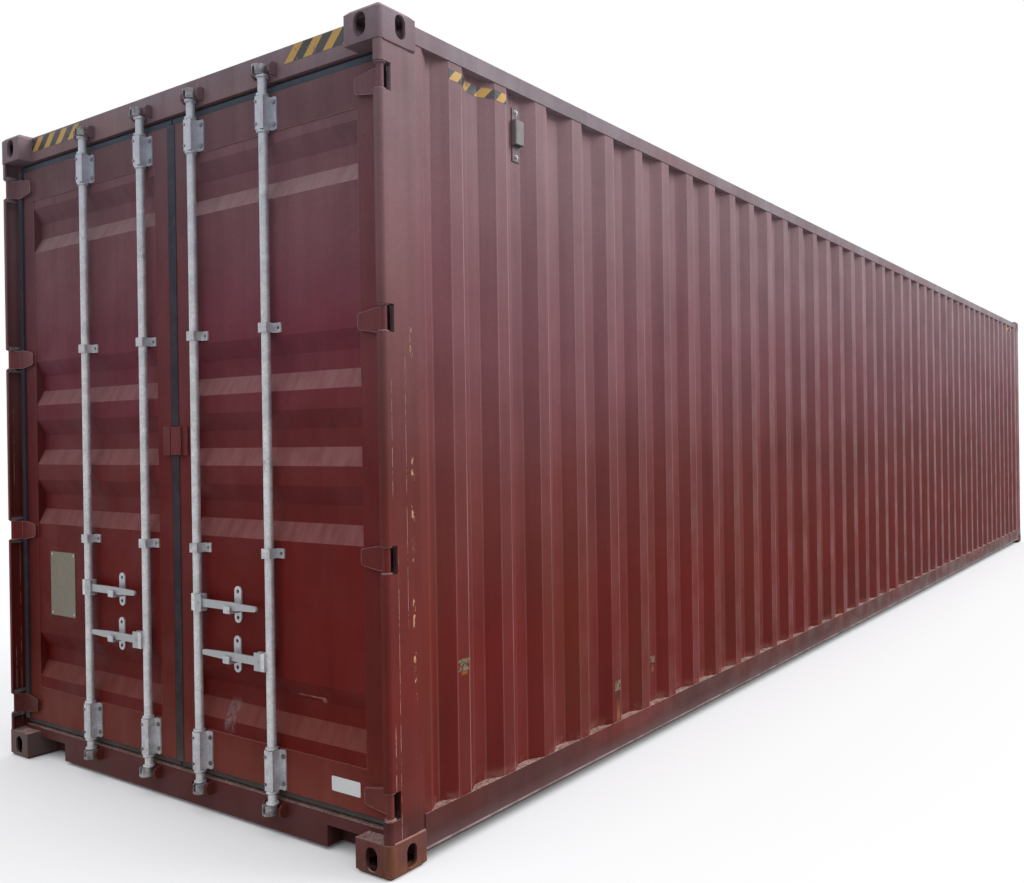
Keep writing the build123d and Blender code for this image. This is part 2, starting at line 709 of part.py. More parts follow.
def lock_rod(i):
    """Rod with a cam near each end and the forked hub that carries its handle."""
    y, z, side = ROD_Y[i], HANDLE_Z[i], HANDLE_SIDE[i]
    bar = rod(ROD_R, ROD_X, y, CAM_Z[0] - CAM_T / 2, CAM_Z[1] + CAM_T / 2)
    for c, outward in zip(CAM_Z, (-1, 1)):
        bar += cam(y, c, side, outward)
    hub_x = ROD_X - HUB_D
    slot0, slot1 = HANDLE_X - HUB_SLOT / 2, HANDLE_X + HUB_SLOT / 2
    hub = block(hub_x, ROD_X, y, y + side * HUB_L, z - HUB_H / 2, z + HUB_H / 2)
    hub -= block(
        slot0, slot1, y + side * HUB_SLOT_START, y + side * (HUB_L + CUT_OVER),
        z - HUB_H / 2, z + HUB_H / 2,
    )
    pivot = pin_x(PIVOT_R, hub_x - PIVOT_HEAD, slot1 + PIVOT_HEAD, y + side * PIVOT_OFF, z)
    return bar + hub + pivot


def lock_handle(i):
    """Flat lever with an eye at the hub, narrowing to a rounded grip."""
    z, side = HANDLE_Z[i], HANDLE_SIDE[i]
    p = ROD_Y[i] + side * PIVOT_OFF
    neck = p + side * min(HANDLE_NECK_L, HANDLE_L / 2)
    tip = ROD_Y[i] + side * (HANDLE_L - HANDLE_GRIP_HALF)
    g = HANDLE_GRIP_HALF
    outline = [
        (p, z + EYE_R), (neck, z + EYE_R), (tip, z + g),
        (tip, z - g), (neck, z - EYE_R), (p, z - EYE_R),
    ]
    face = Plane.YZ * make_face(Polyline(*outline, close=True))
    x0, x1 = HANDLE_X - HANDLE_T / 2, HANDLE_X + HANDLE_T / 2
    lever = Pos(x0, 0, 0) * extrude(face, HANDLE_T, dir=(1, 0, 0))
    lever += pin_x(EYE_R, x0, x1, p, z)
    lever += pin_x(g, x0, x1, tip, z)
    return lever - pin_x(PIVOT_R + PIN_CLEAR, x0, x1, p, z)


def handle_retainer(i):
    """Back plate with rounded ends and two holes, and a hooked seat that holds the handle."""
    y = ROD_Y[i] + HANDLE_SIDE[i] * SEAT_SHARE * HANDLE_L
    z = HANDLE_Z[i]
    x0 = PANEL_X - BRACKET_T
    plate = Plane.YZ * SlotOverall(RETAINER_H, RETAINER_W, rotation=90)
    plate = Pos(x0, y, z) * extrude(plate, BRACKET_T)
    for rise in (-RETAINER_HOLE_RISE, RETAINER_HOLE_RISE):
        plate -= pin_x(RETAINER_HOLE_R, x0, PANEL_X, y, z + rise)
    seat_z = z - EYE_R - DOOR_CLEAR
    y0, y1 = y - SEAT_W / 2, y + SEAT_W / 2
    lip_x = HANDLE_X - HANDLE_T / 2 - DOOR_CLEAR
    seat = block(lip_x - LIP_T, PANEL_X, y0, y1, seat_z - SEAT_T, seat_z)
    seat += block(lip_x - LIP_T, lip_x, y0, y1, seat_z, z)
    return plate + chamfer(seat.edges().filter_by(Axis.Y).group_by(Axis.X)[0], LIP_T / 2)


def overlap_plate():
    """Plate on the right door whose tongue reaches over the middle gap."""
    z = PANEL_MID + OVERLAP_RISE
    z0, z1 = z - OVERLAP_H / 2, z + OVERLAP_H / 2
    x1 = DOOR_X - OVERLAP_T
    free = -DOOR_HALF_GAP
    pad = block(x1, DOOR_X, free - OVERLAP_PAD_L, free, z0, z1)
    tongue_y = OVERLAP_PAST_MID - OVERLAP_TONGUE_L
    return pad + block(x1 - OVERLAP_T, x1, tongue_y, OVERLAP_PAST_MID, z0, z1)


def stop_plate():
    """Matching plate on the left door, beside the tongue."""
    z = PANEL_MID + OVERLAP_RISE
    z0, z1 = z - OVERLAP_H / 2, z + OVERLAP_H / 2
    y0 = OVERLAP_PAST_MID + STOP_GAP
    front = DOOR_X - 2 * OVERLAP_T
    pad = block(front, DOOR_X, DOOR_HALF_GAP + PANEL_SET, y0 + STOP_L, z0, z1)
    return pad + block(front, DOOR_X - OVERLAP_T, y0, y0 + STOP_L, z0, z1)


def data_plate():
    """Blank plate on the left door sheet."""
    y = DOOR_Y - DATA_FROM_HINGE_EDGE
    z = PANEL_MID - DATA_BELOW_MID
    return block(PANEL_X - DATA_T, PANEL_X, y - DATA_W, y, z - DATA_H / 2, z + DATA_H / 2)


# Base and corner frame
casting_bottom = casting()
casting_top = mirror(casting_bottom, about=Plane.XY.offset(HEIGHT / 2))
save("corner_castings_bottom", *four_corners(casting_bottom))
save("corner_castings_top", *four_corners(casting_top))
save("rear_posts", rear_post(), flip_y(rear_post()))
save("front_posts", front_post(), flip_y(front_post()))
save("door_sill", door_sill())
save("door_threshold", door_threshold())
save("door_header", cross_tube(FRAME_X, FRAME_BACK, HEADER_BOTTOM, HEADER_TOP))
save("header_stop", block(
    STOP_X, FRAME_BACK, -OPENING_Y, OPENING_Y, HEADER_BOTTOM - STOP_DROP, HEADER_BOTTOM
))
save("front_sill", cross_tube(FRONT_X0, FRONT_X1, BASE_CLEAR, CAST_H))
save("front_header", cross_tube(FRONT_X0, FRONT_X1, HEADER_BOTTOM, HEADER_TOP))
save("top_rails", top_rail(), flip_y(top_rail()))
save("bottom_rails", bottom_rail(), flip_y(bottom_rail()))

# Shell, roof and floor
wall = side_wall()
save("side_wall_right", wall)
save("side_wall_left", flip_y(wall))
save("front_wall", front_wall())
save("roof_panel", roof())
save("roof_end_plates", *roof_end_plates())
save("floor_boards", *floor_boards())
save("cross_members", *cross_members())
save("side_vents", vent(), flip_y(vent()))

# Fittings that the doors turn on and lock into
save("cam_keepers", *[cheek for y in ROD_Y for z in CAM_Z for cheek in keeper(y, z)])
pins = [hinge_pin(z) for z in HINGE_Z]
save("hinge_pins", *pins, *[flip_y(p) for p in pins])

# Doors
frame = door_frame()
panel = door_panel()
gasket = door_gasket()
lugs = [hinge_lug(z) for z in HINGE_Z]
save("door_right_frame", frame)
save("door_left_frame", flip_y(frame))
save("door_right_panel", panel)
save("door_left_panel", flip_y(panel))
save("door_right_gasket", gasket)
save("door_left_gasket", flip_y(gasket))
save("door_right_hinges", *lugs)
save("door_left_hinges", *[flip_y(g) for g in lugs])
save("door_left_brackets", *rod_brackets(ROD_Y[0]), *rod_brackets(ROD_Y[1]))
save("door_right_brackets", *rod_brackets(ROD_Y[2]), *rod_brackets(ROD_Y[3]))
save("door_left_retainers", handle_retainer(0), handle_retainer(1))
save("door_right_retainers", handle_retainer(2), handle_retainer(3))
save("overlap_plate", overlap_plate())
save("stop_plate", stop_plate())
save("data_plate", data_plate())

# Lock gear
for n in range(len(ROD_Y)):
    save("lock_rod_" + str(n + 1), lock_rod(n))
    save("lock_handle_" + str(n + 1), lock_handle(n))
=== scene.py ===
# %% [markdown]
# # A weathered steel shipping container
# The solids of the container come from a CAD program, each as its own named object. This lesson
# dresses them: a camera, daylight, weathered paints and metals, and the small parts that repeat.
# Everything is in metres, with the origin on the ground under the middle of the container.

# %% Load the solids
import json
import math
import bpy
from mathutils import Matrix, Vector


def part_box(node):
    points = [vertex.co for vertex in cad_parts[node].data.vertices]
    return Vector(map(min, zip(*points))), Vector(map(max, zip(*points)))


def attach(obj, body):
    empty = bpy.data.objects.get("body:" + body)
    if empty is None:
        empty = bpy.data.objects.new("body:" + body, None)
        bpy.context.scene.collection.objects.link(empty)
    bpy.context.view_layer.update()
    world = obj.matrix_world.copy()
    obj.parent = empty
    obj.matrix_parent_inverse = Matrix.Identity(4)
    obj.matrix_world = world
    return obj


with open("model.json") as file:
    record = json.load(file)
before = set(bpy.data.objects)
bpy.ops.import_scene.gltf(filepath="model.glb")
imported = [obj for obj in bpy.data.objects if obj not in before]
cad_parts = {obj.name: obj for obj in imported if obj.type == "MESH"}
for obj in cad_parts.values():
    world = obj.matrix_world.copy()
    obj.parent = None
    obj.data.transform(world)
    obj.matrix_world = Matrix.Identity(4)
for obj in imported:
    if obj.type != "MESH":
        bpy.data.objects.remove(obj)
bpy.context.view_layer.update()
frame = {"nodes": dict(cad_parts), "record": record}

from types import SimpleNamespace

import bmesh
import bpy
from mathutils import Matrix, Vector

nodes = frame["nodes"]
slot_of = {part["node"]: part["material_slot"] for part in frame["record"]["subparts"]}

# %% [markdown]
# ## Camera
# The camera stands at a person's height near the door end and looks past the corner post. Its
# place and turn were worked out from the known corners of the container, so a turn about Z, a
# tilt about X and a slight roll are all that is needed. The lens follows from the focal length in
# pixels and the width of the picture.

# %% Place the camera
PICTURE_WIDTH, FOCAL_PIXELS = 1024, 990.1
SENSOR_WIDTH = 36.0
EYE = (-8.478, -3.454, 1.451)
TURN, TILT, ROLL = math.radians(-54.1344), math.radians(89.8687), math.radians(-0.819)

camera = bpy.data.objects.new("Camera", bpy.data.cameras.new("Camera"))
camera.data.sensor_width = SENSOR_WIDTH
camera.data.lens = SENSOR_WIDTH * FOCAL_PIXELS / PICTURE_WIDTH
camera.matrix_world = (Matrix.Translation(EYE) @ Matrix.Rotation(TURN, 4, "Z")
                       @ Matrix.Rotation(TILT, 4, "X") @ Matrix.Rotation(ROLL, 4, "Z"))
bpy.context.collection.objects.link(camera)
bpy.context.scene.camera = camera
bpy.context.scene.view_settings.view_transform = "Standard"
print("lens in mm:", round(camera.data.lens, 2))

# %% [markdown]
# ## Helpers for node trees
# Shader trees and Geometry Nodes trees are wired in the same way: add a node, set its options,
# then give each input a plain value or a link. The helpers always work on the tree that lies on
# the bench, so a line of code reads like the finish that it describes.

# %% Node helpers
bench = SimpleNamespace(tree=None, place=None)


def lay_out(owner):
    """Puts the empty tree of a material or the world on the bench."""
    owner.use_nodes = True
    bench.tree = owner.node_tree
    bench.tree.nodes.clear()


def feed(socket, value):
    """Links a socket to another node's output, or sets its plain value."""
    if isinstance(value, bpy.types.NodeSocket):
        bench.tree.links.new(value, socket)
    else:
        socket.default_value = value


def node(kind, options=None, **inputs):
    """Adds a node; an underscore in an input's name stands for a space."""
    made = bench.tree.nodes.new(kind)
    for key, value in (options or {}).items():
        setattr(made, key, value)
    for key, value in inputs.items():
        feed(made.inputs[key.replace("_", " ")], value)
    return made


def put(kind, options=None, **inputs):
    """The outputs of a new node."""
    return node(kind, options, **inputs).outputs


def calc(operation, first, second=0.0):
    """A Math node's result."""
    made = node("ShaderNodeMath", {"operation": operation})
    feed(made.inputs[0], first)
    feed(made.inputs[1], second)
    return made.outputs[0]


def product(first, *others):
    """Several values multiplied."""
    for other in others:
        first = calc("MULTIPLY", first, other)
    return first


print("on the bench:", bench.tree)

# %% [markdown]
# A smooth step is the most useful of all: it turns a height, a distance or a noise into a share
# from 0 to 1, and a share decides how far one colour covers another.

# %% Colour helpers
def rise(value, low, high, start=0.0, end=1.0):
    """A smooth step: start below low, end above high."""
    return put("ShaderNodeMapRange", {"interpolation_type": "SMOOTHSTEP"}, Value=value,
               From_Min=low, From_Max=high, To_Min=start, To_Max=end)[0]


def fall(value, low, high, start=1.0):
    """A smooth step down to nothing."""
    return rise(value, low, high, start, 0.0)


def tint(colour):
    """A tuple of screen values from 0 to 255 as linear values; links and lists stay as they are."""
    if not isinstance(colour, tuple):
        return colour
    shares = [value / 255 for value in colour]
    return tuple(share / 12.92 if share <= 0.04045 else ((share + 0.055) / 1.055) ** 2.4
                 for share in shares) + (1.0,)


def mix(share, under, over):
    """One colour laid over another by a share from 0 to 1."""
    made = node("ShaderNodeMix", {"data_type": "RGBA"})
    feed(made.inputs[0], share)
    feed(made.inputs[6], tint(under))
    feed(made.inputs[7], tint(over))
    return made.outputs[2]


def shader_mix(share, under, over):
    """One shader laid over another by a share from 0 to 1."""
    made = node("ShaderNodeMixShader", Fac=share)
    feed(made.inputs[1], under)
    feed(made.inputs[2], over)
    return made.outputs[0]


def axes_of(vector):
    """The X, Y and Z of a vector."""
    return put("ShaderNodeSeparateXYZ", Vector=vector)


print("a mid grey is", [round(c, 3) for c in tint((128, 128, 128))[:3]])

# %% [markdown]
# ## Daylight
# A container stands outdoors under an open sky, and its long side faces the sun while the doors
# lie in open shade. One wide soft sun and a plain sky give that. The camera and mirror-like rays
# see a white backdrop instead of the sky, so the picture's ground stays white with no extra light.

# %% Sky and sun
SKY_HORIZON, SKY_ZENITH = 0.22, 1.2
SKY_TINT, WHITE = (0.97, 1.0, 1.06, 1.0), (1, 1, 1, 1)
SUN_TOWARDS = Vector((0.52, -0.62, 0.59))
SUN_STRENGTH = 1.9
SUN_SOFTNESS = math.radians(40)


def sight():
    """1 for rays straight from the camera, and 1 for those and for mirrored or glass rays."""
    rays = put("ShaderNodeLightPath")
    mirror = calc("MAXIMUM", rays["Is Glossy Ray"], rays["Is Transmission Ray"])
    return rays["Is Camera Ray"], calc("MAXIMUM", rays["Is Camera Ray"], mirror)


world = bpy.data.worlds.new("Sky")
bpy.context.scene.world = world
lay_out(world)
seen = sight()[1]
upward = axes_of(put("ShaderNodeTexCoord")["Generated"])["Z"]
level = put("ShaderNodeMapRange", Value=upward, From_Min=0.0, From_Max=1.0,
            To_Min=SKY_HORIZON, To_Max=SKY_ZENITH)[0]
daylight = put("ShaderNodeBackground", Color=SKY_TINT, Strength=level)[0]
backdrop = put("ShaderNodeBackground", Color=WHITE, Strength=1.0)[0]
put("ShaderNodeOutputWorld", Surface=shader_mix(seen, daylight, backdrop))

sun = bpy.data.objects.new("Sun", bpy.data.lights.new("Sun", "SUN"))
sun.data.energy = SUN_STRENGTH
sun.data.angle = SUN_SOFTNESS
sun.rotation_mode = "QUATERNION"
sun.rotation_quaternion = SUN_TOWARDS.to_track_quat("Z", "Y")
bpy.context.collection.objects.link(sun)
print("sun", round(math.degrees(math.asin(SUN_TOWARDS.normalized().z))), "degrees up")

# %% [markdown]
# ## Floor
# The floor is a pale plane that catches the shadow. For the camera it glows white by two thirds,
# which keeps the shadow soft without lighting the container, but not where the container hangs
# close over it. Further out it turns see-through, so there is no horizon line between it and the
# white backdrop.

# %% Pale floor
FLOOR_REACH = 60.0
FLOOR_FADE = (8.0, 22.0)
FLOOR_SEEN, FLOOR_BOUNCE, FLOOR_GLOW = 0.94, 0.30, 0.64
FLOOR_COVER = 0.7

floor_mesh = bpy.data.meshes.new("Floor")
floor_mesh.from_pydata([(x * FLOOR_REACH, y * FLOOR_REACH, 0)
                        for x, y in ((-1, -1), (1, -1), (1, 1), (-1, 1))], [], [(0, 1, 2, 3)])
floor = bpy.data.objects.new("Floor", floor_mesh)
bpy.context.collection.objects.link(floor)

pale = bpy.data.materials.new("pale_floor")
lay_out(pale)
spot = put("ShaderNodeTexCoord")["Object"]
distance = put("ShaderNodeVectorMath", {"operation": "LENGTH"}, Vector=spot)["Value"]
straight, seen = sight()
grey = mix(seen, [FLOOR_BOUNCE] * 3 + [1], [FLOOR_SEEN] * 3 + [1])
matt = put("ShaderNodeBsdfDiffuse", Color=grey)[0]
white = put("ShaderNodeEmission", Color=WHITE, Strength=1.0)[0]
open_sky = put("ShaderNodeAmbientOcclusion", {"samples": 8}, Distance=FLOOR_COVER)["AO"]
shown = shader_mix(product(seen, FLOOR_GLOW, open_sky), matt, white)
fade = product(rise(distance, *FLOOR_FADE), straight)
gone = put("ShaderNodeBsdfTransparent")[0]
put("ShaderNodeOutputMaterial", Surface=shader_mix(fade, shown, gone))
floor.data.materials.append(pale)
print("floor fades from", FLOOR_FADE[0], "to", FLOOR_FADE[1], "m")

# %% [markdown]
# ## Patterns for finishes
# Every finish is made of the same few patterns: a noise, a colour that changes with height, a
# line or a zone, and the edges of a solid. They lie on Object coordinates, in metres, so they run
# on from one solid to the next.

# %% Pattern helpers
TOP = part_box("corner_castings_top")[1].z
finish = {}


def start_material(name):
    """Puts a new finish on the bench, its pattern laid on Object coordinates."""
    finish[name] = bpy.data.materials.new(name)
    lay_out(finish[name])
    bench.place = put("ShaderNodeTexCoord")["Object"]


def grain(scale, detail=4.0, rough=0.55, stretch=(1, 1, 1), shift=0.0):
    """A noise value around 0.5; stretch above 1 packs the pattern along that axis."""
    moved = put("ShaderNodeMapping", Vector=bench.place, Scale=stretch,
                Location=(shift, shift, shift))[0]
    return put("ShaderNodeTexNoise", Vector=moved, Scale=scale, Detail=detail, Roughness=rough)[0]


def by_height(height, *stops):
    """A colour that runs through stops, each a height in metres, a red, a green and a blue."""
    ramp = node("ShaderNodeValToRGB", Fac=calc("DIVIDE", height, TOP))
    keys = ramp.color_ramp.elements
    while len(keys) < len(stops):
        keys.new(0.5)
    for key, (level, *colour) in zip(keys, stops):
        key.position = level / TOP
        key.color = tint(tuple(colour))
    return ramp.outputs[0]


def near(value, centre, half):
    """1 on a line at centre, falling to 0 at half away from it."""
    return fall(calc("ABSOLUTE", calc("SUBTRACT", value, centre)), half * 0.5, half)


def within(value, low, high, soft):
    """1 between two limits, with soft ends."""
    return product(rise(value, low - soft, low), fall(value, high, high + soft))


def facing():
    """The way that a face looks: its Z is 1 for a floor, 0 for a wall, -1 for a ceiling."""
    return axes_of(put("ShaderNodeNewGeometry")["True Normal"])


def edges(radius):
    """1 along the edges of a solid, found as places where a rounded normal leaves the true one."""
    alike = node("ShaderNodeVectorMath", {"operation": "DOT_PRODUCT"})
    feed(alike.inputs[0], put("ShaderNodeBevel", {"samples": 6}, Radius=radius)[0])
    feed(alike.inputs[1], put("ShaderNodeNewGeometry")["True Normal"])
    return fall(alike.outputs["Value"], 0.86, 0.985)


def shaded(colour, level):
    """A colour made lighter or darker by a level around 1."""
    return put("ShaderNodeHueSaturation", Color=colour, Value=level)[0]


def bump(height, strength, distance, **more):
    """A normal that follows a height; more may hold the normal that it lies on."""
    return put("ShaderNodeBump", Strength=strength, Distance=distance, Height=height, **more)[0]


def surface(colour, rough, **more):
    """Ends a finish in its shader."""
    shader = put("ShaderNodeBsdfPrincipled", Base_Color=colour, Roughness=rough, **more)
    put("ShaderNodeOutputMaterial", Surface=shader[0])


print("colours run up to", round(TOP, 3), "m")

# %% [markdown]
# ## Weathered paint
# The container is sprayed in one red-brown oxide paint. It turns paler and greyer towards the top,
# partly from years of sun bleaching and partly as a painted sky reflection; rain draws faint
# streaks, dust gathers low, and chips rust. A photograph could be wrapped round it, but a tree on
# Object coordinates stays sharp close by and runs on over every sheet. So one function builds the
# paint, and each part gives its own colours by height.

# %% Paint helper
def weathered(name, *stops, seed=0.0, chips=0.70, sheen=(0.42, 0.62), waves=0.5, gloss=0.14,
              marks=None):
    """Oxide paint: paler to the top, partly bleaching and partly painted sky reflection; streaked,
    patchy, chipped, with a fine spray texture.

    marks, where given, lays the part's own wear over the colour.
    """
    start_material(name)
    x, y, z = axes_of(bench.place)
    # Paler, greyer towards the top: partly sun bleaching, partly a painted sky reflection.
    uneven = product(calc("SUBTRACT", grain(0.9, 3.0, shift=seed), 0.5), 0.6)
    colour = by_height(calc("ADD", z, uneven), *stops)
    patch = rise(grain(2.6, 5.0, shift=seed + 3), 0.3, 0.7, 0.9, 1.08)
    streak = rise(grain(1.0, 3.0, 0.6, (16, 16, 0.45), seed), 0.3, 0.7, 0.92, 1.07)
    speck = rise(grain(90, 2.0, 0.7), 0.25, 0.75, 0.95, 1.05)
    colour = shaded(colour, product(patch, streak, speck))

    flake = rise(grain(13, 6.0, 0.72, shift=seed + 7), chips, chips + 0.03)
    chip = product(flake, rise(grain(1.7, 2.0, shift=seed + 11), 0.5, 0.6))
    rust = mix(grain(40, 3.0), (58, 32, 24), (122, 70, 46))
    colour = mix(chip, colour, rust)
    if marks:
        colour = marks(x, y, z, colour)

    rough = rise(grain(6, 4.0, shift=seed + 5), 0.3, 0.7, *sheen)
    rough = calc("MAXIMUM", rough, product(chip, 0.85))
    sunk = calc("SUBTRACT", product(grain(420, 1.0), 0.0005), product(chip, 0.0007))
    wavy = bump(grain(2.3, 1.0, shift=seed), waves, 0.01)
    surface(colour, rough, Normal=bump(sunk, 0.6, 1.0, Normal=wavy), Specular_IOR_Level=gloss)


print("finishes before the paint is used:", len(finish))

# %% [markdown]
# ## Wear of each part
# Wear follows use: bends of the wall rub pale, the ledge of the bottom rail holds dust, the rear
# posts are scraped and chipped by other boxes, and outer corners lose their paint first. Some marks
# are painted light and shade as well: a painted highlight along the wall bends and hinge edges,
# painted shade under the bottom rails, inside the castings and over the far door, painted light in
# the hinge pockets, and a painted sky sheen on the door slopes. Each part has a small function that
# lays those marks over its paint, by distance from the line or the spot where they lie.

# %% Wear and painted light on the wall
RIB_START, RIB_PITCH, RIB_FLAT, RIB_SLOPE = -5.733, 0.274, 0.073, 0.066
RIBS_BEFORE = 20
BEND = 0.004
WALL_SCARS = ((-5.690, 0.640, 0.036, 0.014, 0.03), (-4.588, 0.335, 0.028, 0.016, 0.14),
              (-4.190, 0.372, 0.022, 0.011, 0.05))


def wall_marks(x, y, z, colour):
    """Painted light on slopes facing the door end, painted haze towards the far end, pale bends
    partly rubbed and partly a painted highlight, dust at the foot, and scars with rust running
    down from them.
    """
    along = calc("MODULO", calc("ADD", x, RIBS_BEFORE * RIB_PITCH - RIB_START), RIB_PITCH)
    # Painted light: slopes that face the door end are lightened a little.
    colour = shaded(colour, rise(facing()["X"], -0.6, -0.2, 1.06, 1.0))
    # Painted haze: the lower wall turns paler and more mauve towards the far end.
    painted_haze = product(rise(x, -3.0, 5.0, 0.0, 0.22), fall(z, 1.2, 2.4))
    colour = mix(painted_haze, colour, (138, 104, 110))
    # Pale bend lines: partly rubbed paint, partly a painted highlight where the flat turns in.
    bends = near(along, RIB_FLAT, BEND)
    for bend in (BEND, RIB_FLAT + RIB_SLOPE, RIB_PITCH - RIB_SLOPE):
        bends = calc("MAXIMUM", bends, product(near(along, bend, BEND), 0.3))
    rubbed = rise(grain(1.0, 5.0, 0.65, (5, 5, 1.2), 2.0), 0.38, 0.6, 0.4, 0.9)
    pale = by_height(z, (0.3, 158, 108, 100), (2.6, 182, 150, 154))
    colour = mix(product(bends, rubbed), colour, pale)
    stain = product(fall(z, 0.7, 1.6, 0.4),
                    rise(grain(1.0, 5.0, 0.65, (3.5, 3.5, 0.7), 9.0), 0.42, 0.7))
    colour = mix(stain, colour, (104, 50, 28))
    foot = product(fall(z, 0.175, 0.22, 0.35), rise(grain(9, 6.0, 0.7), 0.42, 0.62))
    colour = mix(foot, colour, (164, 122, 112))
    right_side = fall(y, -1.0, -0.9)
    ragged = grain(46, 5.0, 0.7)
    bare = mix(rise(grain(110, 3.0), 0.35, 0.6), (92, 74, 58), (140, 124, 98))
    for at_x, at_z, half, tall, drip in WALL_SCARS:
        torn = product(near(x, at_x, half * 1.8), near(z, at_z, tall * 2.4), right_side, ragged)
        run = product(near(x, at_x, half * 0.6), within(z, at_z - drip, at_z, drip * 0.3),
                      right_side, 0.9)
        rust = by_height(z, (at_z - drip, 150, 94, 50), (at_z - drip * 0.4, 64, 42, 30))
        colour = mix(rise(torn, 0.44, 0.49), mix(run, colour, rust), bare)
    return colour


print("scars on the wall:", len(WALL_SCARS))

# %% Helpers for the frame
HALF_LENGTH, HALF_WIDTH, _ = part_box("corner_castings_top")[1]
LEDGE_TOP = 0.2


def edge_share(x, y, z, reach):
    """1 on the outer edges of the whole box, where two of its faces meet."""
    ends = calc("SUBTRACT", HALF_LENGTH, calc("ABSOLUTE", x))
    sides = calc("SUBTRACT", HALF_WIDTH, calc("ABSOLUTE", y))
    levels = calc("MINIMUM", z, calc("SUBTRACT", TOP, z))
    nearest = calc("MINIMUM", ends, sides)
    other = calc("MAXIMUM", ends, sides)
    second = calc("MAXIMUM", nearest, calc("MINIMUM", other, levels))
    return fall(second, reach * 0.35, reach)


def dusty_ledge(z, colour):
    """Pale road dust on low faces that look up."""
    lies = product(rise(facing()["Z"], 0.6, 0.9), fall(z, LEDGE_TOP, LEDGE_TOP + 0.05),
                   rise(grain(16, 6.0, 0.75), 0.3, 0.6, 0.45, 1.0))
    grit = rise(grain(90, 5.0, 0.7), 0.38, 0.6)
    return mix(lies, colour, mix(grit, (140, 104, 96), (196, 168, 158)))


print("dust lies up to", LEDGE_TOP, "m")

# %% Wear and painted light on the frame
SCRATCHES = ((-6.060, 0.0022, 0.30, 0.47), (-6.036, 0.0014, 0.14, 1.05),
             (-5.990, 0.0013, 0.85, 1.75), (-6.058, 0.0016, 1.30, 1.62))
CHIPPED_SEAM = -5.957
RAIL_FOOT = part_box("bottom_rails")[0].z
HINGE_LEVELS, SLOT_HALF = (0.242, 1.0565, 1.8593, 2.659), 0.075
POST_POCKET = (-6.086, -6.012)


def frame_marks(x, y, z, colour):
    """Dust low, painted shade under the rail lip, painted light in the hinge pockets, worn corners,
    long scratches, and a chipped seam up the rear posts.
    """
    sill = product(fall(x, -6.02, -6.0), fall(z, 0.13, 0.19, 0.7))
    colour = dusty_ledge(z, mix(sill, colour, (106, 56, 55)))
    across = calc("ABSOLUTE", y)
    outside = rise(across, 1.19, 1.2)
    splashed = product(fall(z, RAIL_FOOT, RAIL_FOOT + 0.055, 0.55), outside)
    colour = mix(splashed, colour, (106, 82, 82))
    rim = product(near(z, RAIL_FOOT - 0.001, 0.006), outside,
                  rise(grain(7, 5.0, 0.7), 0.38, 0.6, 0.2, 0.75))
    colour = mix(rim, colour, (158, 138, 136))
    # Painted shade: a dark band below the foot of the bottom rail, under its lip.
    below = product(fall(z, RAIL_FOOT - 0.006, RAIL_FOOT - 0.004), outside)
    colour = mix(below, colour, (58, 44, 44))
    # Painted light: the insides of the posts behind the hinge slots are painted pale, paler up
    # high.
    pocket = product(fall(across, 1.2105, 1.2125), within(x, *POST_POCKET, 0.002))
    slots = near(z, HINGE_LEVELS[0], SLOT_HALF)
    for level in HINGE_LEVELS[1:]:
        slots = calc("MAXIMUM", slots, near(z, level, SLOT_HALF))
    pocket_light = by_height(z, (0.4, 92, 56, 52), (1.9, 150, 130, 134), (2.7, 196, 182, 188))
    colour = mix(product(pocket, slots), colour, pocket_light)
    worn = product(edge_share(x, y, z, 0.010), rise(grain(24, 5.0, 0.7), 0.45, 0.6, 0.0, 0.5))
    colour = mix(worn, colour, (150, 108, 98))
    broken = rise(grain(6, 4.0, 0.7, (1, 1, 3), 4.0), 0.4, 0.55)
    for at_x, half, low, high in SCRATCHES:
        line = product(near(x, at_x, half), within(z, low, high, 0.05), broken, 0.7)
        colour = mix(line, colour, (202, 160, 148))
    lost = product(near(x, CHIPPED_SEAM, 0.012), within(z, 0.55, 1.70, 0.25),
                   rise(grain(34, 4.0, 0.7, (1, 1, 0.5)), 0.57, 0.63))
    return mix(lost, colour, (206, 164, 122))


print("scratches on each post:", len(SCRATCHES))

# %% Wear and painted shade on the castings
CAVITY_X, CAVITY_Y, CAVITY_LEVEL = (5.935, 6.084), (1.075, 1.207), (0.012, 0.106)
CAVITY_SOFT = 0.006


def casting_marks(x, y, z, colour):
    """Bare worn edges, dirty ledges, a greyer far side, painted shade inside the cavities, and rust
    runs down the lower corner.
    """
    low = fall(z, 0.5, 1.0)
    colour = mix(product(low, rise(y, -0.2, 0.6), 0.75), colour, (112, 100, 98))
    colour = dusty_ledge(z, colour)
    level = calc("MINIMUM", z, calc("SUBTRACT", TOP, z))
    # Painted shade: the cavities inside the castings are painted dark, darkest low down.
    inside = product(within(level, *CAVITY_LEVEL, CAVITY_SOFT),
                     within(calc("ABSOLUTE", x), *CAVITY_X, CAVITY_SOFT),
                     within(calc("ABSOLUTE", y), *CAVITY_Y, CAVITY_SOFT))
    colour = mix(inside, colour, by_height(z, (0.1, 30, 22, 22), (2.8, 104, 92, 97)))
    runs = product(edge_share(x, y, z, 0.06), low,
                   rise(grain(6, 5.0, 0.65, (5, 5, 0.6)), 0.42, 0.6, 0.0, 0.6))
    colour = mix(runs, colour, (136, 88, 56))
    worn = product(edges(0.006), rise(grain(20, 6.0, 0.72), 0.40, 0.56, 0.05, 0.6))
    return mix(worn, colour, (150, 118, 108))


print("castings are dark inside from", CAVITY_LEVEL[0], "m up")

# %% Wear and painted light on the doors
DOOR_SCUFFS = ((-0.319, 0.398, 0.040, 0.072, (142, 118, 116)),
               (-0.752, 0.528, 0.085, 0.0045, (196, 150, 138)),
               (-0.812, 0.522, 0.014, 0.012, (186, 140, 126)))


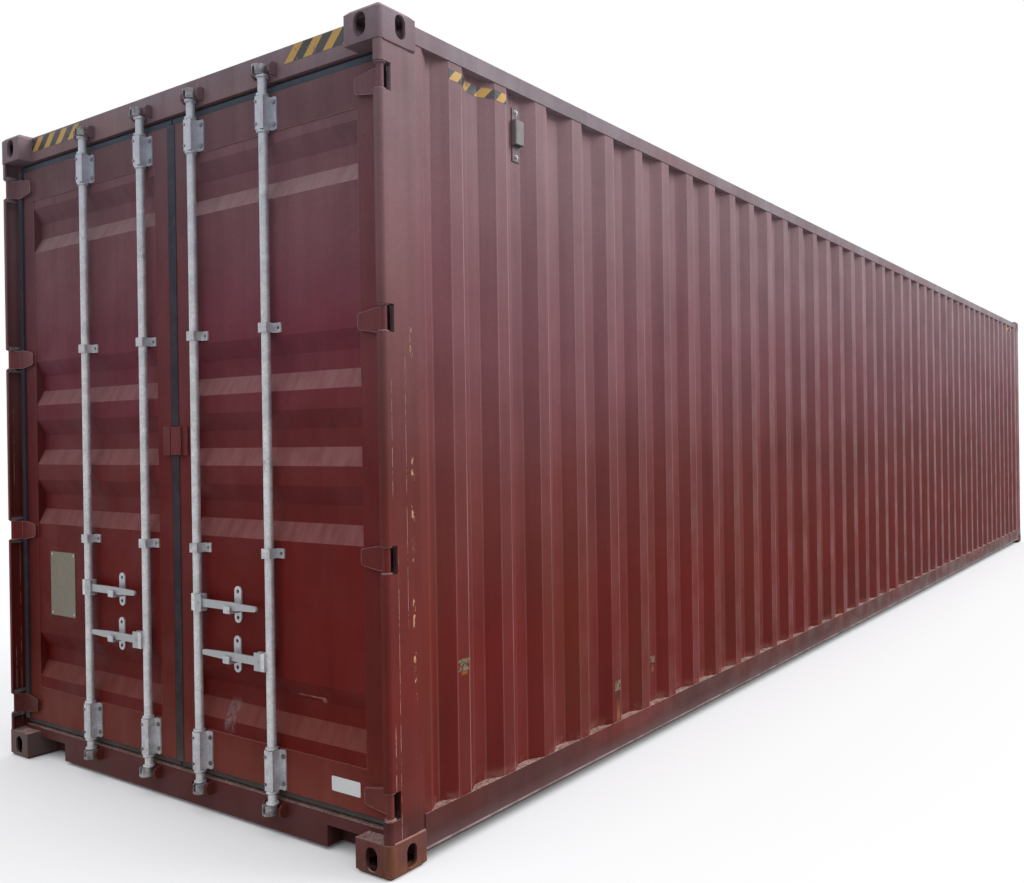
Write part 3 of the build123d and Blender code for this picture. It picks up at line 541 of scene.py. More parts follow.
def hinge_marks(x, y, z, colour):
    """Bright edges on the hinges, partly rubbed paint and partly a painted highlight, and painted
    shade over the low hinges of the far door.
    """
    # Painted highlight, partly rubbed paint: pale edges on the hinges.
    hinge = rise(calc("ABSOLUTE", y), 0.5, 0.9, 0.25, 1.0)
    rubbed = product(edges(0.005), hinge, rise(grain(30, 4.0), 0.35, 0.55, 0.35, 0.8))
    colour = mix(rubbed, colour, (196, 168, 168))
    # Painted shade: the far door's hinges are darker low down and a little lighter high up.
    far = product(rise(y, 0.4, 0.6), rise(z, 0.4, 0.9, -0.45, 0.07))
    return shaded(colour, calc("ADD", 1.0, far))


def door_shade(y, colour):
    """Painted shade across the doors: the far door darker, the near one a little lighter."""
    return shaded(colour, rise(y, -0.9, 0.9, 1.04, 0.87))


def panel_marks(x, y, z, colour):
    """Pale slopes that look up, partly chalky bleach and partly a painted sky sheen, streaked by
    brushing and rain; scuffs; and the painted shade across the doors.
    """
    # Upward slopes turn pale: partly chalky bleach, partly a painted sky sheen.
    chalk = by_height(z, (0.40, 132, 70, 62), (1.45, 154, 100, 100), (2.45, 162, 132, 134))
    drawn = rise(grain(3.0, 5.0, 0.6, (1, 7, 2)), 0.3, 0.65, 0.5, 0.95)
    colour = mix(product(rise(facing()["Z"], 0.15, 0.4), drawn), colour, chalk)
    for at_y, at_z, half, tall, shade in DOOR_SCUFFS:
        scuff = product(near(y, at_y, half), near(z, at_z, tall),
                        rise(grain(50, 4.0), 0.38, 0.6, 0.1, 0.75))
        colour = mix(scuff, colour, shade)
    return door_shade(y, colour)


def door_marks(x, y, z, colour):
    """Pale rubbed edges on the door frames, and the painted shade across the doors."""
    rubbed = product(edges(0.004), rise(grain(9, 5.0, 0.7), 0.5, 0.66, 0.0, 0.5))
    return door_shade(y, mix(rubbed, colour, (158, 116, 108)))


print("scuffs on the doors:", len(DOOR_SCUFFS))

# %% [markdown]
# ## Paints of the shell
# The walls, posts, rails and doors were sprayed together, but they weather apart: the long wall
# turns a mauve grey under the roof, partly bleached and partly a painted sky reflection, the doors
# keep a deeper red near the ground, and the bottom rail gathers road dust.

# %% Shell paints
weathered("wall_paint", (0.10, 104, 30, 26), (0.70, 112, 34, 29), (1.35, 114, 55, 53),
          (1.95, 132, 85, 91), (2.55, 146, 113, 117), (2.85, 152, 122, 126),
          seed=1.0, chips=0.72, marks=wall_marks)
weathered("frame_paint", (0.05, 82, 46, 44), (0.17, 90, 41, 36), (0.22, 108, 42, 37),
          (0.60, 114, 38, 32), (1.35, 110, 50, 46), (2.20, 132, 94, 97), (2.74, 142, 116, 120),
          (2.86, 146, 131, 137), seed=2.0, chips=0.69, waves=0.3, marks=frame_marks)
weathered("door_paint", (0.20, 132, 64, 54), (0.33, 120, 49, 41), (0.60, 106, 34, 27),
          (1.30, 112, 40, 40), (2.00, 120, 66, 70), (2.70, 122, 92, 97),
          seed=3.0, chips=0.70, waves=0.3, gloss=0.1, marks=door_marks)
weathered("panel_paint", (0.30, 108, 26, 20), (0.95, 113, 30, 26), (1.45, 119, 50, 52),
          (1.85, 125, 59, 72), (2.20, 132, 84, 92), (2.65, 134, 98, 104),
          seed=4.0, chips=0.74, waves=0.35, gloss=0.1, marks=panel_marks)
weathered("roof_paint", (2.60, 132, 100, 103), (2.90, 140, 112, 115), seed=5.0, chips=0.64)
weathered("hinge_paint", (0.20, 124, 62, 54), (0.60, 106, 36, 30), (1.40, 114, 46, 46),
          (2.10, 122, 76, 80), (2.70, 124, 92, 98),
          seed=6.0, chips=0.70, waves=0.1, marks=hinge_marks)
weathered("keeper_paint", (0.05, 104, 50, 42), (0.30, 108, 52, 46), (2.70, 120, 96, 102),
          (2.90, 124, 102, 108), seed=7.0, chips=0.66, waves=0.1)
weathered("casting_paint", (0.00, 110, 66, 60), (0.16, 126, 74, 69), (2.70, 134, 112, 118),
          (2.90, 145, 126, 132),
          seed=8.0, chips=0.66, sheen=(0.5, 0.7), waves=0.1, marks=casting_marks)
weathered("underside_paint", (0.00, 78, 70, 66), (0.20, 72, 64, 60),
          seed=9.0, chips=0.70, sheen=(0.7, 0.85), waves=0.1)
print("paints:", sorted(finish))

# %% [markdown]
# ## Galvanised lock gear
# Rods, handles and brackets are steel dipped in zinc. Fresh zinc freezes into flat crystals, each
# with its own shine, and then whitens in patches. A Voronoi texture gives each crystal one value,
# and a broad noise lays the white bloom over it.

# %% Zinc
CAM_ZONES, CAM_SOFT = (0.125, 2.797), 0.006
ROD_Y = {1: 0.594, 2: 0.169, 3: -0.169, 4: -0.594}
ROD_REACH = 0.019


def soiled_gear(y, z, colour, cams):
    """Duller zinc on the levers beside the rods, their edges left bright as a painted highlight,
    and dirt on the cams at their ends.
    """
    across = calc("ABSOLUTE", y)
    beside = [calc("ABSOLUTE", calc("SUBTRACT", across, ROD_Y[n])) for n in (1, 2)]
    # The lever edges keep the bright zinc as a painted highlight.
    lever = product(rise(calc("MINIMUM", *beside), ROD_REACH, ROD_REACH + 0.003),
                    rise(edges(0.003), 0.0, 1.0, 0.75, 0.15))
    colour = mix(lever, colour, (166, 168, 170))
    foot, head = CAM_ZONES
    ends = calc("MAXIMUM", fall(z, foot - CAM_SOFT, foot), rise(z, head, head + CAM_SOFT))
    dirt = rise(grain(38, 6.0, 0.7), 0.32, 0.62, 0.35, 1.0)
    return mix(product(ends, dirt, cams), colour, (84, 66, 60))


def zinc(name, base, bloom, crystal, seed, metallic=0.5, cams=0.0):
    """Galvanised steel; cams gives how dirty the lock gear is beyond the plain rods."""
    start_material(name)
    cells = put("ShaderNodeTexVoronoi", Vector=bench.place, Scale=crystal)["Color"]
    facet = put("ShaderNodeSeparateColor", Color=cells)[0]
    mottle = grain(14, 5.0, 0.65, shift=seed)
    colour = mix(rise(mottle, 0.35, 0.68), base, bloom)
    speckle = rise(grain(120, 3.0, 0.6, shift=seed), 0.36, 0.62, 0.92, 1.06)
    colour = shaded(colour, product(rise(facet, 0.0, 1.0, 0.92, 1.04), speckle))
    stain = product(rise(grain(8, 6.0, 0.7, shift=seed + 4), 0.62, 0.70), 0.45)
    colour = mix(stain, colour, (112, 84, 68))
    _, y, z = axes_of(bench.place)
    # Painted sky reflection: the zinc turns paler and bluer towards the top.
    colour = mix(rise(z, 1.7, 2.7, 0.0, 0.4), colour, (176, 184, 204))
    if cams:
        colour = soiled_gear(y, z, colour, cams)
    rough = calc("ADD", rise(mottle, 0.3, 0.7, 0.34, 0.52), product(facet, 0.08))
    surface(colour, rough, Normal=bump(grain(55, 4.0), 0.12, 0.001), Metallic=metallic)


zinc("zinc_rod", (206, 207, 209), (234, 234, 234), 70.0, 0.0, 0.35, cams=0.8)
zinc("zinc_bracket", (192, 194, 198), (222, 222, 223), 55.0, 6.0, 0.4)
zinc("pin_steel", (112, 100, 98), (150, 140, 138), 60.0, 9.0)
zinc("plate_metal", (116, 108, 94), (132, 124, 108), 30.0, 12.0)
print("metals:", [name for name in finish if "paint" not in name])

# %% [markdown]
# ## Rubber, plywood and plastic
# The door gaskets are black rubber that has gone chalky in patches; the top strip is painted a
# lighter blue grey as a painted highlight. The floor is tropical plywood with long grain, scuffed
# by loads. The vents are plain grey moulded plastic.

# %% Rubber and plywood
start_material("gasket_rubber")
# The lighter blue grey of the top strip is a painted highlight.
colour = by_height(axes_of(bench.place)["Z"], (0.14, 92, 86, 82), (0.26, 66, 59, 60),
                   (0.50, 50, 44, 50), (2.00, 62, 56, 66), (2.72, 70, 74, 84), (2.76, 84, 92, 102))
chalk = rise(grain(22, 5.0, 0.7), 0.5, 0.8, 0.0, 0.2)
surface(mix(chalk, colour, (128, 126, 128)), rise(grain(9), 0.3, 0.7, 0.6, 0.85),
        Normal=bump(grain(160, 3.0), 0.3, 0.001), Specular_IOR_Level=0.2)

start_material("plywood")
veins = grain(3.0, 6.0, 0.6, (0.35, 9, 9))
colour = mix(rise(veins, 0.3, 0.7), (112, 74, 46), (158, 116, 78))
scuff = rise(grain(5, 7.0, 0.75), 0.55, 0.7, 0.0, 0.6)
surface(mix(scuff, colour, (92, 80, 68)), rise(veins, 0.3, 0.7, 0.6, 0.8),
        Normal=bump(veins, 0.3, 0.001))
print("finishes so far:", len(finish))

# %% Vent plastic
VENT_FACE = 1.182

start_material("vent_plastic")
grime = grain(18, 5.0, 0.65, (1, 1, 0.3))
cover = mix(rise(grime, 0.4, 0.75), (136, 133, 132), (112, 103, 103))
plate = fall(calc("ABSOLUTE", axes_of(bench.place)["Y"]), VENT_FACE + 0.001, VENT_FACE + 0.003)
surface(mix(plate, cover, (116, 98, 100)), rise(grime, 0.3, 0.7, 0.42, 0.6),
        Normal=bump(grain(300, 2.0), 0.2, 0.0006))
print("finishes:", len(finish))

# %% [markdown]
# ## Dress the solids
# Each solid already knows its slot by name, so the finish only has to be put there. The shapes
# themselves stay as the CAD program made them.

# %% Put on the finishes
for name, solid in nodes.items():
    solid.data.materials.clear()
    solid.data.materials.append(finish[slot_of[name]])
print("dressed:", len(nodes))

# %% [markdown]
# ## Growing small parts with Geometry Nodes
# Bolts, rivets and collars repeat all over the doors. Each kind is one small node tree: it takes
# bare points, sets one shape on each, turned to the point's own direction, and makes the result
# real mesh with a material. The points and directions are the only data the script holds.

# %% Tree helpers
FLOAT, WHOLE, STUFF = "NodeSocketFloat", "NodeSocketInt", "NodeSocketMaterial"


def start_tree(name, *sizes):
    """Puts a Geometry Nodes tree on the bench; returns it, its named inputs and its end."""
    tree = bench.tree = bpy.data.node_groups.new(name, "GeometryNodeTree")
    face = tree.interface
    face.new_socket("Geometry", in_out="INPUT", socket_type="NodeSocketGeometry")
    for label, kind in sizes:
        face.new_socket(label, in_out="INPUT", socket_type=kind)
    face.new_socket("Geometry", in_out="OUTPUT", socket_type="NodeSocketGeometry")
    return tree, put("NodeGroupInput"), node("NodeGroupOutput").inputs[0]


def made_real(given, end, shape):
    """Ends a tree in real mesh with its finish."""
    real = put("GeometryNodeRealizeInstances", Geometry=shape)[0]
    feed(end, put("GeometryNodeSetMaterial", Geometry=real, Material=given["Finish"])[0])


def set_on_points(given, end, shape):
    """Sets a shape on every point along its aim, turned at random."""
    aim = put("GeometryNodeInputNamedAttribute", {"data_type": "FLOAT_VECTOR"}, Name="aim")[0]
    chance = put("FunctionNodeRandomValue", {"data_type": "FLOAT"}, Seed=given["Seed"])[1]
    upright = put("FunctionNodeAlignRotationToVector", {"axis": "Z"}, Vector=aim)[0]
    spin = put("FunctionNodeAxisAngleToRotation", Axis=(0, 0, 1), Angle=product(chance, math.tau))
    turned = put("FunctionNodeRotateRotation", {"rotation_space": "LOCAL"}, Rotation=upright,
                 Rotate_By=spin[0])[0]
    made_real(given, end, put("GeometryNodeInstanceOnPoints", Points=given["Geometry"],
                              Instance=shape, Rotation=turned)[0])


def lifted(shape, height):
    """Moves a shape up its own axis."""
    up = put("ShaderNodeCombineXYZ", Z=height)[0]
    return put("GeometryNodeTransform", Geometry=shape, Translation=up)[0]


def joined(*shapes):
    """Several shapes as one."""
    made = node("GeometryNodeJoinGeometry")
    for shape in reversed(shapes):
        feed(made.inputs[0], shape)
    return made.outputs[0]


print("kinds of inputs:", FLOAT, WHOLE, STUFF)

# %% Piece helpers
OUT, UP = (-1, 0, 0), (0, 0, 1)


def add_piece(name, mesh, body):
    """A finished mesh as a piece that rides on a body."""
    piece = bpy.data.objects.new(name, mesh)
    bpy.context.collection.objects.link(piece)
    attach(piece, body)
    return piece


def grow(name, tree, base, body, slot, **sizes):
    """Runs a tree on a base mesh and leaves a plain mesh that rides on a body."""
    carrier = bpy.data.objects.new(name + "_base", base)
    bpy.context.collection.objects.link(carrier)
    work = carrier.modifiers.new("Grow", "NODES")
    work.node_group = tree
    keys = {item.name: item.identifier for item in tree.interface.items_tree
            if item.in_out == "INPUT"}
    for label, value in sizes.items():
        work[keys[label.replace("_", " ")]] = value
    depsgraph = bpy.context.evaluated_depsgraph_get()
    mesh = bpy.data.meshes.new_from_object(carrier.evaluated_get(depsgraph))
    bpy.data.objects.remove(carrier)
    add_piece(name, mesh, body)
    print(name, "faces:", len(mesh.polygons))


def aimed_points(places):
    """A mesh of loose points from (place, aim) pairs, with the aim as an attribute."""
    mesh = bpy.data.meshes.new("aimed_points")
    mesh.from_pydata([place for place, aim in places], [], [])
    aims = mesh.attributes.new("aim", "FLOAT_VECTOR", "POINT")
    for entry, (place, aim) in zip(aims.data, places):
        entry.vector = aim
    return mesh


print("out of the doors is", OUT)

# %% [markdown]
# ## Bolts of the lock gear
# Every bracket is held by hexagon bolts with washers. The head is a short six-sided prism on a
# thin disc, with a low cone on top, which reads as a real head with its worn chamfer.

# %% Bolt tree
bolt_tree, given, end = start_tree("bolt_heads", ("Head radius", FLOAT), ("Head height", FLOAT),
                                   ("Washer radius", FLOAT), ("Washer height", FLOAT),
                                   ("Seed", WHOLE), ("Finish", STUFF))
head_radius, head_height = given["Head radius"], given["Head height"]
washer_height = given["Washer height"]
washer = put("GeometryNodeMeshCylinder", Vertices=16, Radius=given["Washer radius"],
             Depth=washer_height)[0]
washer = lifted(washer, product(washer_height, 0.5))
head = put("GeometryNodeMeshCylinder", Vertices=6, Radius=head_radius, Depth=head_height)[0]
head = lifted(head, calc("ADD", washer_height, product(head_height, 0.5)))
crown = put("GeometryNodeMeshCone", Vertices=12, Depth=product(head_height, 0.25),
            Radius_Top=product(head_radius, 0.6), Radius_Bottom=product(head_radius, 0.84))[0]
crown = lifted(crown, calc("ADD", washer_height, head_height))
set_on_points(given, end, joined(washer, head, crown))
print("bolt tree nodes:", len(bolt_tree.nodes))

# %% Bolt the brackets
RODS_OF = {"left": (1, 2), "right": (3, 4)}
END_BRACKET_FACE, CLIP_FACE, SADDLE_FACE = -6.036, -6.034, -6.078
END_BRACKET_BOLTS, CLIP_BOLTS = (0.198, 0.298, 2.618, 2.700), (1.044, 1.873)
END_BOLT_OFF, CLIP_BOLT_OFF, SADDLE_BOLT_OFF = (-0.039, 0.029), (-0.042, 0.029), (0.012,)
BIG_BOLT = dict(Head_radius=0.0075, Head_height=0.005, Washer_radius=0.0095,
                Washer_height=0.0015, Seed=3, Finish=finish["pin_steel"])
SMALL_BOLT = dict(Head_radius=0.005, Head_height=0.003, Washer_radius=0.006,
                  Washer_height=0.001, Seed=4, Finish=finish["pin_steel"])


def bolt_places(n, face, levels, offsets):
    """Bolts beside one rod, at each level."""
    return [((face, ROD_Y[n] + off, z), OUT) for z in levels for off in offsets]


for side, rods in RODS_OF.items():
    big, small = [], []
    for n in rods:
        big += bolt_places(n, END_BRACKET_FACE, END_BRACKET_BOLTS, END_BOLT_OFF)
        small += bolt_places(n, CLIP_FACE, CLIP_BOLTS, CLIP_BOLT_OFF)
        small += bolt_places(n, SADDLE_FACE, END_BRACKET_BOLTS, SADDLE_BOLT_OFF)
    grow(f"bracket_bolts_{side}", bolt_tree, aimed_points(big), f"door_{side}", "zinc_bracket",
         **BIG_BOLT)
    grow(f"clip_bolts_{side}", bolt_tree, aimed_points(small), f"door_{side}", "zinc_bracket",
         **SMALL_BOLT)

# %% [markdown]
# ## Rivets and screws
# The data plate is riveted and the vents screwed on; the handle catches are riveted as well, but
# get no rivets here. A rivet head is a flat dome, so a squashed ball is enough, half of it sunk
# into the plate.

# %% Rivets
rivet_tree, given, end = start_tree("rivet_heads", ("Radius", FLOAT), ("Seed", WHOLE),
                                    ("Finish", STUFF))
ball = put("GeometryNodeMeshUVSphere", Segments=12, Rings=6, Radius=given["Radius"])[0]
dome = put("GeometryNodeTransform", Geometry=ball, Scale=(1, 1, 0.5))[0]
set_on_points(given, end, dome)

RIVET_EDGE = 0.012
plate_low, plate_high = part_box("data_plate")
plate_rivets = [((plate_low.x, y, z), OUT)
                for y in (plate_low.y + RIVET_EDGE, plate_high.y - RIVET_EDGE)
                for z in (plate_low.z + RIVET_EDGE, plate_high.z - RIVET_EDGE)]
grow("plate_rivets", rivet_tree, aimed_points(plate_rivets), "door_left", "plate_metal",
     Radius=0.005, Seed=1, Finish=finish["zinc_bracket"])

# %% Screws of the vents
VENT_X, VENT_Z, VENT_SCREW_RISE = -5.2805, 2.653, 0.088
vent_screws = [((VENT_X, side * VENT_FACE, VENT_Z + up), (0, side, 0))
               for side in (-1, 1) for up in (-VENT_SCREW_RISE, VENT_SCREW_RISE)]
grow("vent_screws", bolt_tree, aimed_points(vent_screws), "container", "vent_plastic",
     Head_radius=0.008, Head_height=0.005, Washer_radius=0.0115, Washer_height=0.001, Seed=5,
     Finish=finish["zinc_rod"])

# %% [markdown]
# ## Collars on the lock rods
# Loose rings on each rod sit beside its end brackets and its cams and keep it from sliding up or
# down. A circle swept with a small square makes one ring, and the tree sets it along the rod.

# %% Rod collars
collar_tree, given, end = start_tree("rod_collars", ("Ring radius", FLOAT), ("Ring width", FLOAT),
                                     ("Ring height", FLOAT), ("Seed", WHOLE), ("Finish", STUFF))
loop = put("GeometryNodeCurvePrimitiveCircle", Resolution=28, Radius=given["Ring radius"])[0]
section = put("GeometryNodeCurvePrimitiveQuadrilateral", Width=given["Ring width"],
              Height=given["Ring height"])[0]
set_on_points(given, end, put("GeometryNodeCurveToMesh", Curve=loop, Profile_Curve=section)[0])

ROD_X = -6.056
COLLAR_LEVELS = (0.1265, 0.168, 0.3275, 2.5925, 2.7255, 2.7945)
for n, rod_y in ROD_Y.items():
    rings = [((ROD_X, rod_y, z), UP) for z in COLLAR_LEVELS]
    grow(f"rod_collars_{n}", collar_tree, aimed_points(rings), f"rod_{n}", "zinc_rod",
         Ring_radius=0.0202, Ring_width=0.0066, Ring_height=0.009, Seed=1,
         Finish=finish["zinc_rod"])

# %% [markdown]
# ## Washers in the hinges
# A steel washer rides on each hinge pin above and below the barrel and takes the weight of the
# door. The collar tree makes them too, with a wider and thinner ring.

# %% Hinge washers
PIN_X, PIN_Y, WASHER_RISE = -6.070, 1.195, 0.0448
washers = [((PIN_X, side * PIN_Y, z + up), UP) for side in (-1, 1) for z in HINGE_LEVELS
           for up in (-WASHER_RISE, WASHER_RISE)]
grow("hinge_washers", collar_tree, aimed_points(washers), "container", "pin_steel",
     Ring_radius=0.0136, Ring_width=0.0110, Ring_height=0.0044, Seed=2,
     Finish=finish["hinge_paint"])

# %% [markdown]
# ## Hazard bands
# A tall container carries black and yellow bands at its upper corners. They are stickers, so each
# is a thin film that follows the sheet below it, and its own UV map, laid out in metres along the
# strip, carries the slanted bars round every bend of the pressed wall.

# %% Hazard band finish
BAR_PITCH, BAR_SHARE, BAR_LEAN, BAR_SOFT = 0.1, 0.47, 0.95, 0.02

start_material("hazard_band")
along, up, _ = axes_of(put("ShaderNodeUVMap", {"uv_map": "Along"})[0])
slant = calc("SUBTRACT", along, product(up, BAR_LEAN))
turn = calc("FRACT", calc("DIVIDE", slant, BAR_PITCH))
bar = product(rise(turn, 0.0, BAR_SOFT), fall(turn, BAR_SHARE, BAR_SHARE + BAR_SOFT))
colour = mix(bar, (62, 60, 62), (212, 166, 84))
worn = rise(grain(30, 6.0, 0.7), 0.56, 0.64, 0.0, 0.7)
surface(mix(worn, colour, (128, 112, 114)), rise(grain(12), 0.3, 0.7, 0.4, 0.6))
print("bars per metre:", round(1 / BAR_PITCH))

# %% Band helpers
FILM_LIFT, FILM_SHARE = 0.0007, 0.9


def plain_piece(name, places, faces, material, body):
    """A closed mesh piece that rides on a body, with all its faces turned outwards."""
    mesh = bpy.data.meshes.new(name)
    mesh.from_pydata(places, [], faces)
    shell = bmesh.new()
    shell.from_mesh(mesh)
    bmesh.ops.recalc_face_normals(shell, faces=shell.faces)
    shell.to_mesh(mesh)
    shell.free()
    mesh.materials.append(material)
    return add_piece(name, mesh, body)


def band(name, line, levels, inward, start_slant=0.0, end_slant=0.0):
    """A thin film along a plan line of (x, y) points; a slant moves the top of an end along it."""
    low, high = levels
    along = [0.0]
    for (ax, ay), (bx, by) in zip(line, line[1:]):
        along.append(along[-1] + math.hypot(bx - ax, by - ay))
    ahead = (Vector(line[1]) - Vector(line[0])).normalized()
    places, laid = [], []
    for i, (x, y) in enumerate(line):
        slant = start_slant if i == 0 else end_slant if i == len(line) - 1 else 0.0
        step = ahead * slant
        places += [(x, y, low), (x + step.x, y + step.y, high)]
        laid += [(along[i], 0.0), (along[i] + slant, high - low)]
    count, deep = len(places), FILM_LIFT * FILM_SHARE
    places += [(x + inward[0] * deep, y + inward[1] * deep, z) for x, y, z in places]
    laid += laid
    faces = [(0, 1, count + 1, count), (count - 2, count - 1, 2 * count - 1, 2 * count - 2)]
    for i in range(0, count - 2, 2):
        faces += [(i, i + 2, i + 3, i + 1),
                  (count + i, count + i + 1, count + i + 3, count + i + 2)]
        faces += [(a, a + 2, count + a + 2, count + a) for a in (i, i + 1)]
    piece = plain_piece(name, places, faces, finish["hazard_band"], "container")
    layer = piece.data.uv_layers.new(name="Along")
    for loop in piece.data.loops:
        layer.data[loop.index].uv = laid[loop.vertex_index]
    print(name, "length:", round(along[-1], 3))


print("film stands out by", FILM_LIFT, "m")

# %% Lay the bands
HEADER_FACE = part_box("door_header")[0].x - FILM_LIFT
BAND_OUTER, BAND_INNER_RIGHT, BAND_INNER_LEFT = 1.0565, -0.684, 0.712
BAND_RIGHT, BAND_LEFT, WALL_BAND = (2.827, 2.886), (2.822, 2.881), (2.741, 2.779)
BAND_SLANT = 0.056
RIB_IN, RIB_DEEP, FRONT_RIB = 0.069, 0.036, 40

band("header_band_right", [(HEADER_FACE, BAND_INNER_RIGHT), (HEADER_FACE, -BAND_OUTER)],
     BAND_RIGHT, (1, 0), start_slant=BAND_SLANT)
band("header_band_left", [(HEADER_FACE, BAND_OUTER), (HEADER_FACE, BAND_INNER_LEFT)],
     BAND_LEFT, (1, 0), end_slant=BAND_SLANT)
wall_out = -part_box("side_wall_right")[0].y + FILM_LIFT
rib = ((0.0, 0.0), (RIB_FLAT, 0.0), (RIB_SLOPE, RIB_DEEP), (RIB_IN, RIB_DEEP), (RIB_SLOPE, 0.0),
       (RIB_FLAT, 0.0))
for end_name, at in (("rear", RIB_START), ("front", RIB_START + FRONT_RIB * RIB_PITCH)):
    profile = []
    for step, deep in rib:
        at += step
        profile.append((at, wall_out - deep))
    for side, label in ((-1, "right"), (1, "left")):
        line = [(x, side * y) for x, y in profile]
        band(f"wall_band_{label}_{end_name}", line if side < 0 else line[::-1], WALL_BAND,
             (0, -side))

# %% [markdown]
# ## Weld beads
# The shell is welded together, and the beads show as pale broken lines where paint is thin: round
# the door sheets, and where the posts stand on the corner castings. A tree turns each path into a
# thin tube and shakes its surface with noise, so no two stretches look alike.

# %% Weld tree
weld_tree, given, end = start_tree("weld_beads", ("Bead radius", FLOAT), ("Step", FLOAT),
                                   ("Roughness", FLOAT), ("Finish", STUFF))
path = put("GeometryNodeMeshToCurve", Mesh=given["Geometry"])[0]
path = put("GeometryNodeResampleCurve", {"mode": "LENGTH"}, Curve=path, Length=given["Step"])[0]
section = put("GeometryNodeCurvePrimitiveCircle", Resolution=6, Radius=given["Bead radius"])[0]
bead = put("GeometryNodeCurveToMesh", Curve=path, Profile_Curve=section, Fill_Caps=True)[0]
here = put("GeometryNodeInputPosition")[0]
shake = put("ShaderNodeTexNoise", Vector=here, Scale=110.0, Detail=2.0)["Color"]
centred = node("ShaderNodeVectorMath", {"operation": "SUBTRACT"}, Vector=shake)
feed(centred.inputs[1], (0.5, 0.5, 0.5))
shift = put("ShaderNodeVectorMath", {"operation": "SCALE"}, Vector=centred.outputs[0],
            Scale=given["Roughness"])[0]
made_real(given, end, put("GeometryNodeSetPosition", Geometry=bead, Offset=shift)[0])
print("weld tree nodes:", len(weld_tree.nodes))

# %% Lay the welds
SEAM_PROUD = 0.0005
POST_BEVEL, POST_END, WELD_RISE, WELD_PROUD, WELD_SUNK = 0.018, -5.920, 0.002, 0.001, 0.002


def paths(lines):
    """A mesh of loose edges along several lines of points."""
    places, runs = [], []
    for line in lines:
        first = len(places)
        places += line
        runs += [(first + i, first + i + 1) for i in range(len(line) - 1)]
    mesh = bpy.data.meshes.new("weld_path")
    mesh.from_pydata(places, runs, [])
    return mesh


weathered("dusty_weld", (0.12, 168, 128, 118), (0.34, 140, 84, 76), (0.60, 118, 48, 42),
          (1.40, 118, 56, 54), (2.80, 136, 106, 110),
          seed=12.0, chips=0.66, sheen=(0.6, 0.8), waves=0.0)
for side in ("right", "left"):
    low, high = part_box(f"door_{side}_panel")
    loop = [(low.x - SEAM_PROUD, y, z) for y, z in (
        (low.y, low.z), (high.y, low.z), (high.y, high.z), (low.y, high.z), (low.y, low.z))]
    grow(f"panel_weld_{side}", weld_tree, paths([loop]), f"door_{side}", "door_paint",
         Bead_radius=0.0022, Step=0.02, Roughness=0.002, Finish=finish["dusty_weld"])
post_low, post_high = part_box("rear_posts")
foot_lines = []
for sign in (-1, 1):
    side_y, wall_y = sign * (post_high.y + WELD_PROUD), sign * (post_high.y - WELD_SUNK)
    for z in (post_low.z + WELD_RISE, post_high.z - WELD_RISE):
        foot_lines += [[(post_low.x + POST_BEVEL, side_y, z), (CHIPPED_SEAM, side_y, z)],
                       [(CHIPPED_SEAM, side_y, z), (CHIPPED_SEAM, wall_y, z),
                        (POST_END, wall_y, z)]]
grow("post_welds", weld_tree, paths(foot_lines), "container", "frame_paint",
     Bead_radius=0.0035, Step=0.01, Roughness=0.003, Finish=finish["dusty_weld"])

# %% [markdown]
# ## Lips of the door seals
# The rubber seal folds forward over the hinge edge of each door, and laps from the right door,
# which closes last, over the gap between the two, so a dark strip shows beside the paint there.
# Each lip is a thin bar with a slight bevel, and the lap stops above and below the plates that
# lock the doors.

# %% Lay the lips
LIP_DEEP, LAP_DEEP, LIP_BEVEL = 0.011, 0.008, 0.0012
LIP_OUTER, LAP = (1.137, 1.1655), (0.031, -0.0155)
LIP_AHEAD = {"right": 0.003, "left": 0.012}
LAP_CLEAR, LAP_AHEAD = 0.003, 0.003


def solid_piece(name, outlines, material, body):
    """Closed solids, each between a pair of matching end outlines."""
    places, faces = [], []
    for near_end, far_end in outlines:
        first, count = len(places), len(near_end)
        middle = first + count
        places += near_end + far_end
        for i in range(count):
            after = (i + 1) % count
            faces.append((first + i, first + after, middle + after, middle + i))
        faces += [tuple(range(first, middle)), tuple(range(middle, middle + count))]
    plain_piece(name, places, faces, material, body)
    print(name, "corners:", len(places))


def upright_bar(span, z0, z1, face_x, ahead, deep):
    """The two end outlines of an upright bar with bevelled front edges."""
    y0, y1 = min(span), max(span)
    front, back = face_x - ahead, face_x + deep
    outline = [(back, y0), (front + LIP_BEVEL, y0), (front, y0 + LIP_BEVEL),
               (front, y1 - LIP_BEVEL), (front + LIP_BEVEL, y1), (back, y1)]
    return [(x, y, z0) for x, y in outline], [(x, y, z1) for x, y in outline]


for side, sign in (("right", -1), ("left", 1)):
    low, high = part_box(f"door_{side}_frame")
    lip = [sign * y for y in LIP_OUTER]
    bars = [upright_bar(lip, low.z, high.z, low.x, LIP_AHEAD[side], LIP_DEEP)]
    if side == "right":
        plate_foot, plate_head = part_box("overlap_plate")
        lap = [sign * y for y in LAP]
        bars += [upright_bar(lap, z0, z1, low.x, LAP_AHEAD, LAP_DEEP) for z0, z1 in (
            (low.z, plate_foot.z - LAP_CLEAR), (plate_head.z + LAP_CLEAR, high.z))]
    solid_piece(f"seal_lips_{side}", bars, finish["gasket_rubber"], f"door_{side}")

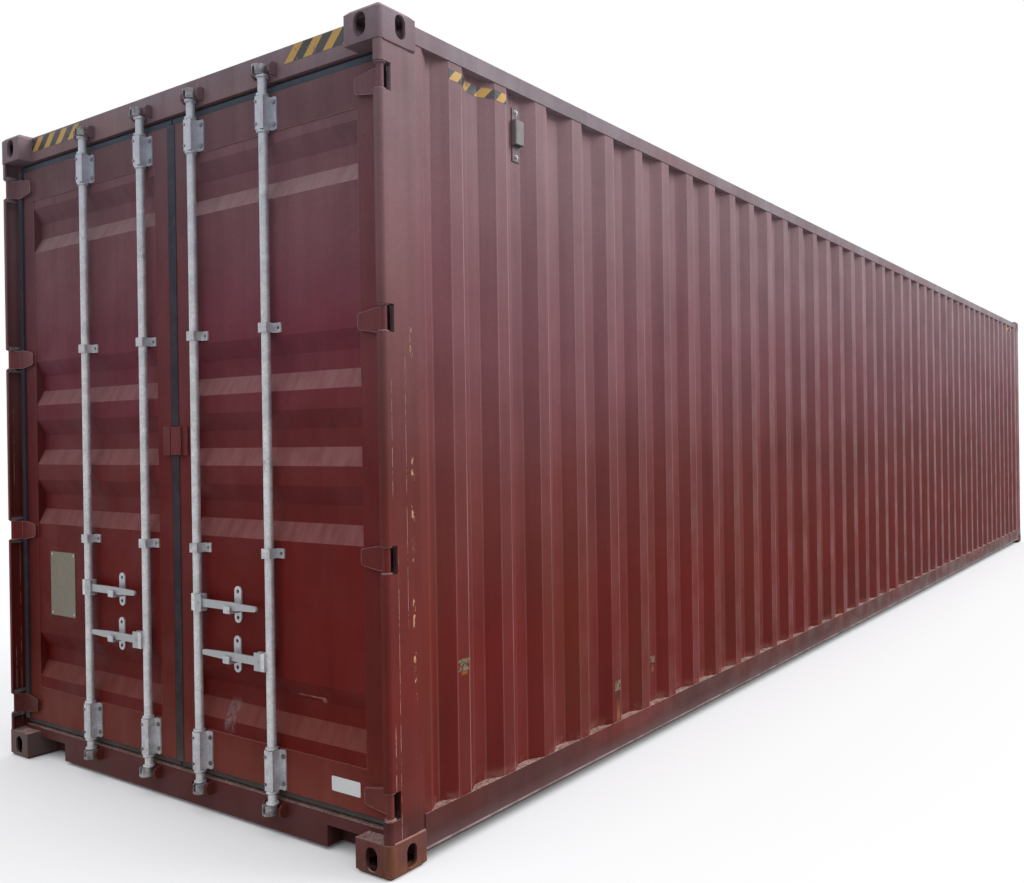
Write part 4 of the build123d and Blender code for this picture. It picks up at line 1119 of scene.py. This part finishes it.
# %% [markdown]
# ## Lips of the bottom rails
# The lower edge of each bottom rail is folded out into a narrow lip, which catches road dust and
# draws a thin pale line along the foot of the container. It is one outline in the Y-Z plane, drawn
# out along the rail.

# %% Lay the rail lips
FOLD_OUT, FOLD_IN, FOLD_DROP, FOLD_RISE, FOLD_CLEAR = 0.003, 0.026, 0.009, 0.0015, 0.0002
rail_low, rail_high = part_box("bottom_rails")
section = [(rail_high.y + out, RAIL_FOOT + up) for out, up in (
    (-FOLD_IN, 0.0), (-FOLD_IN, -FOLD_DROP), (FOLD_OUT, -FOLD_DROP), (FOLD_OUT, -FOLD_RISE),
    (FOLD_CLEAR, FOLD_RISE), (FOLD_CLEAR, 0.0))]
lips = [tuple([(x, sign * y, z) for y, z in section] for x in (rail_low.x, rail_high.x))
        for sign in (-1, 1)]
solid_piece("rail_lips", lips, finish["frame_paint"], "container")

# %% [markdown]
# ## Blank label
# A small plain white sticker stays on the lower rail of the right door. It is a thin rounded
# sheet, raised by the thickness of its film.

# %% Stick on the label
LABEL_Y, LABEL_Z, LABEL_ROUND = (-0.879, -1.019), (0.222, 0.274), 0.004

start_material("label_film")
grime = rise(grain(45, 6.0, 0.7), 0.5, 0.75, 0.0, 0.35)
surface(mix(grime, (252, 251, 249), (206, 194, 188)), rise(grain(14), 0.3, 0.7, 0.35, 0.55))

label_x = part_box("door_right_frame")[0].x
outline = []
for y, z, start in ((LABEL_Y[0], LABEL_Z[1], 0), (LABEL_Y[0], LABEL_Z[0], -90),
                    (LABEL_Y[1], LABEL_Z[0], 180), (LABEL_Y[1], LABEL_Z[1], 90)):
    middle_y = y + math.copysign(LABEL_ROUND, sum(LABEL_Y) / 2 - y)
    middle_z = z + math.copysign(LABEL_ROUND, sum(LABEL_Z) / 2 - z)
    for turn in (90, 45, 0):
        a = math.radians(start + turn)
        outline.append((middle_y + LABEL_ROUND * math.cos(a),
                        middle_z + LABEL_ROUND * math.sin(a)))
film_faces = tuple([(x, y, z) for y, z in outline] for x in (label_x - FILM_LIFT, label_x))
solid_piece("blank_label", [film_faces], finish["label_film"], "door_right")
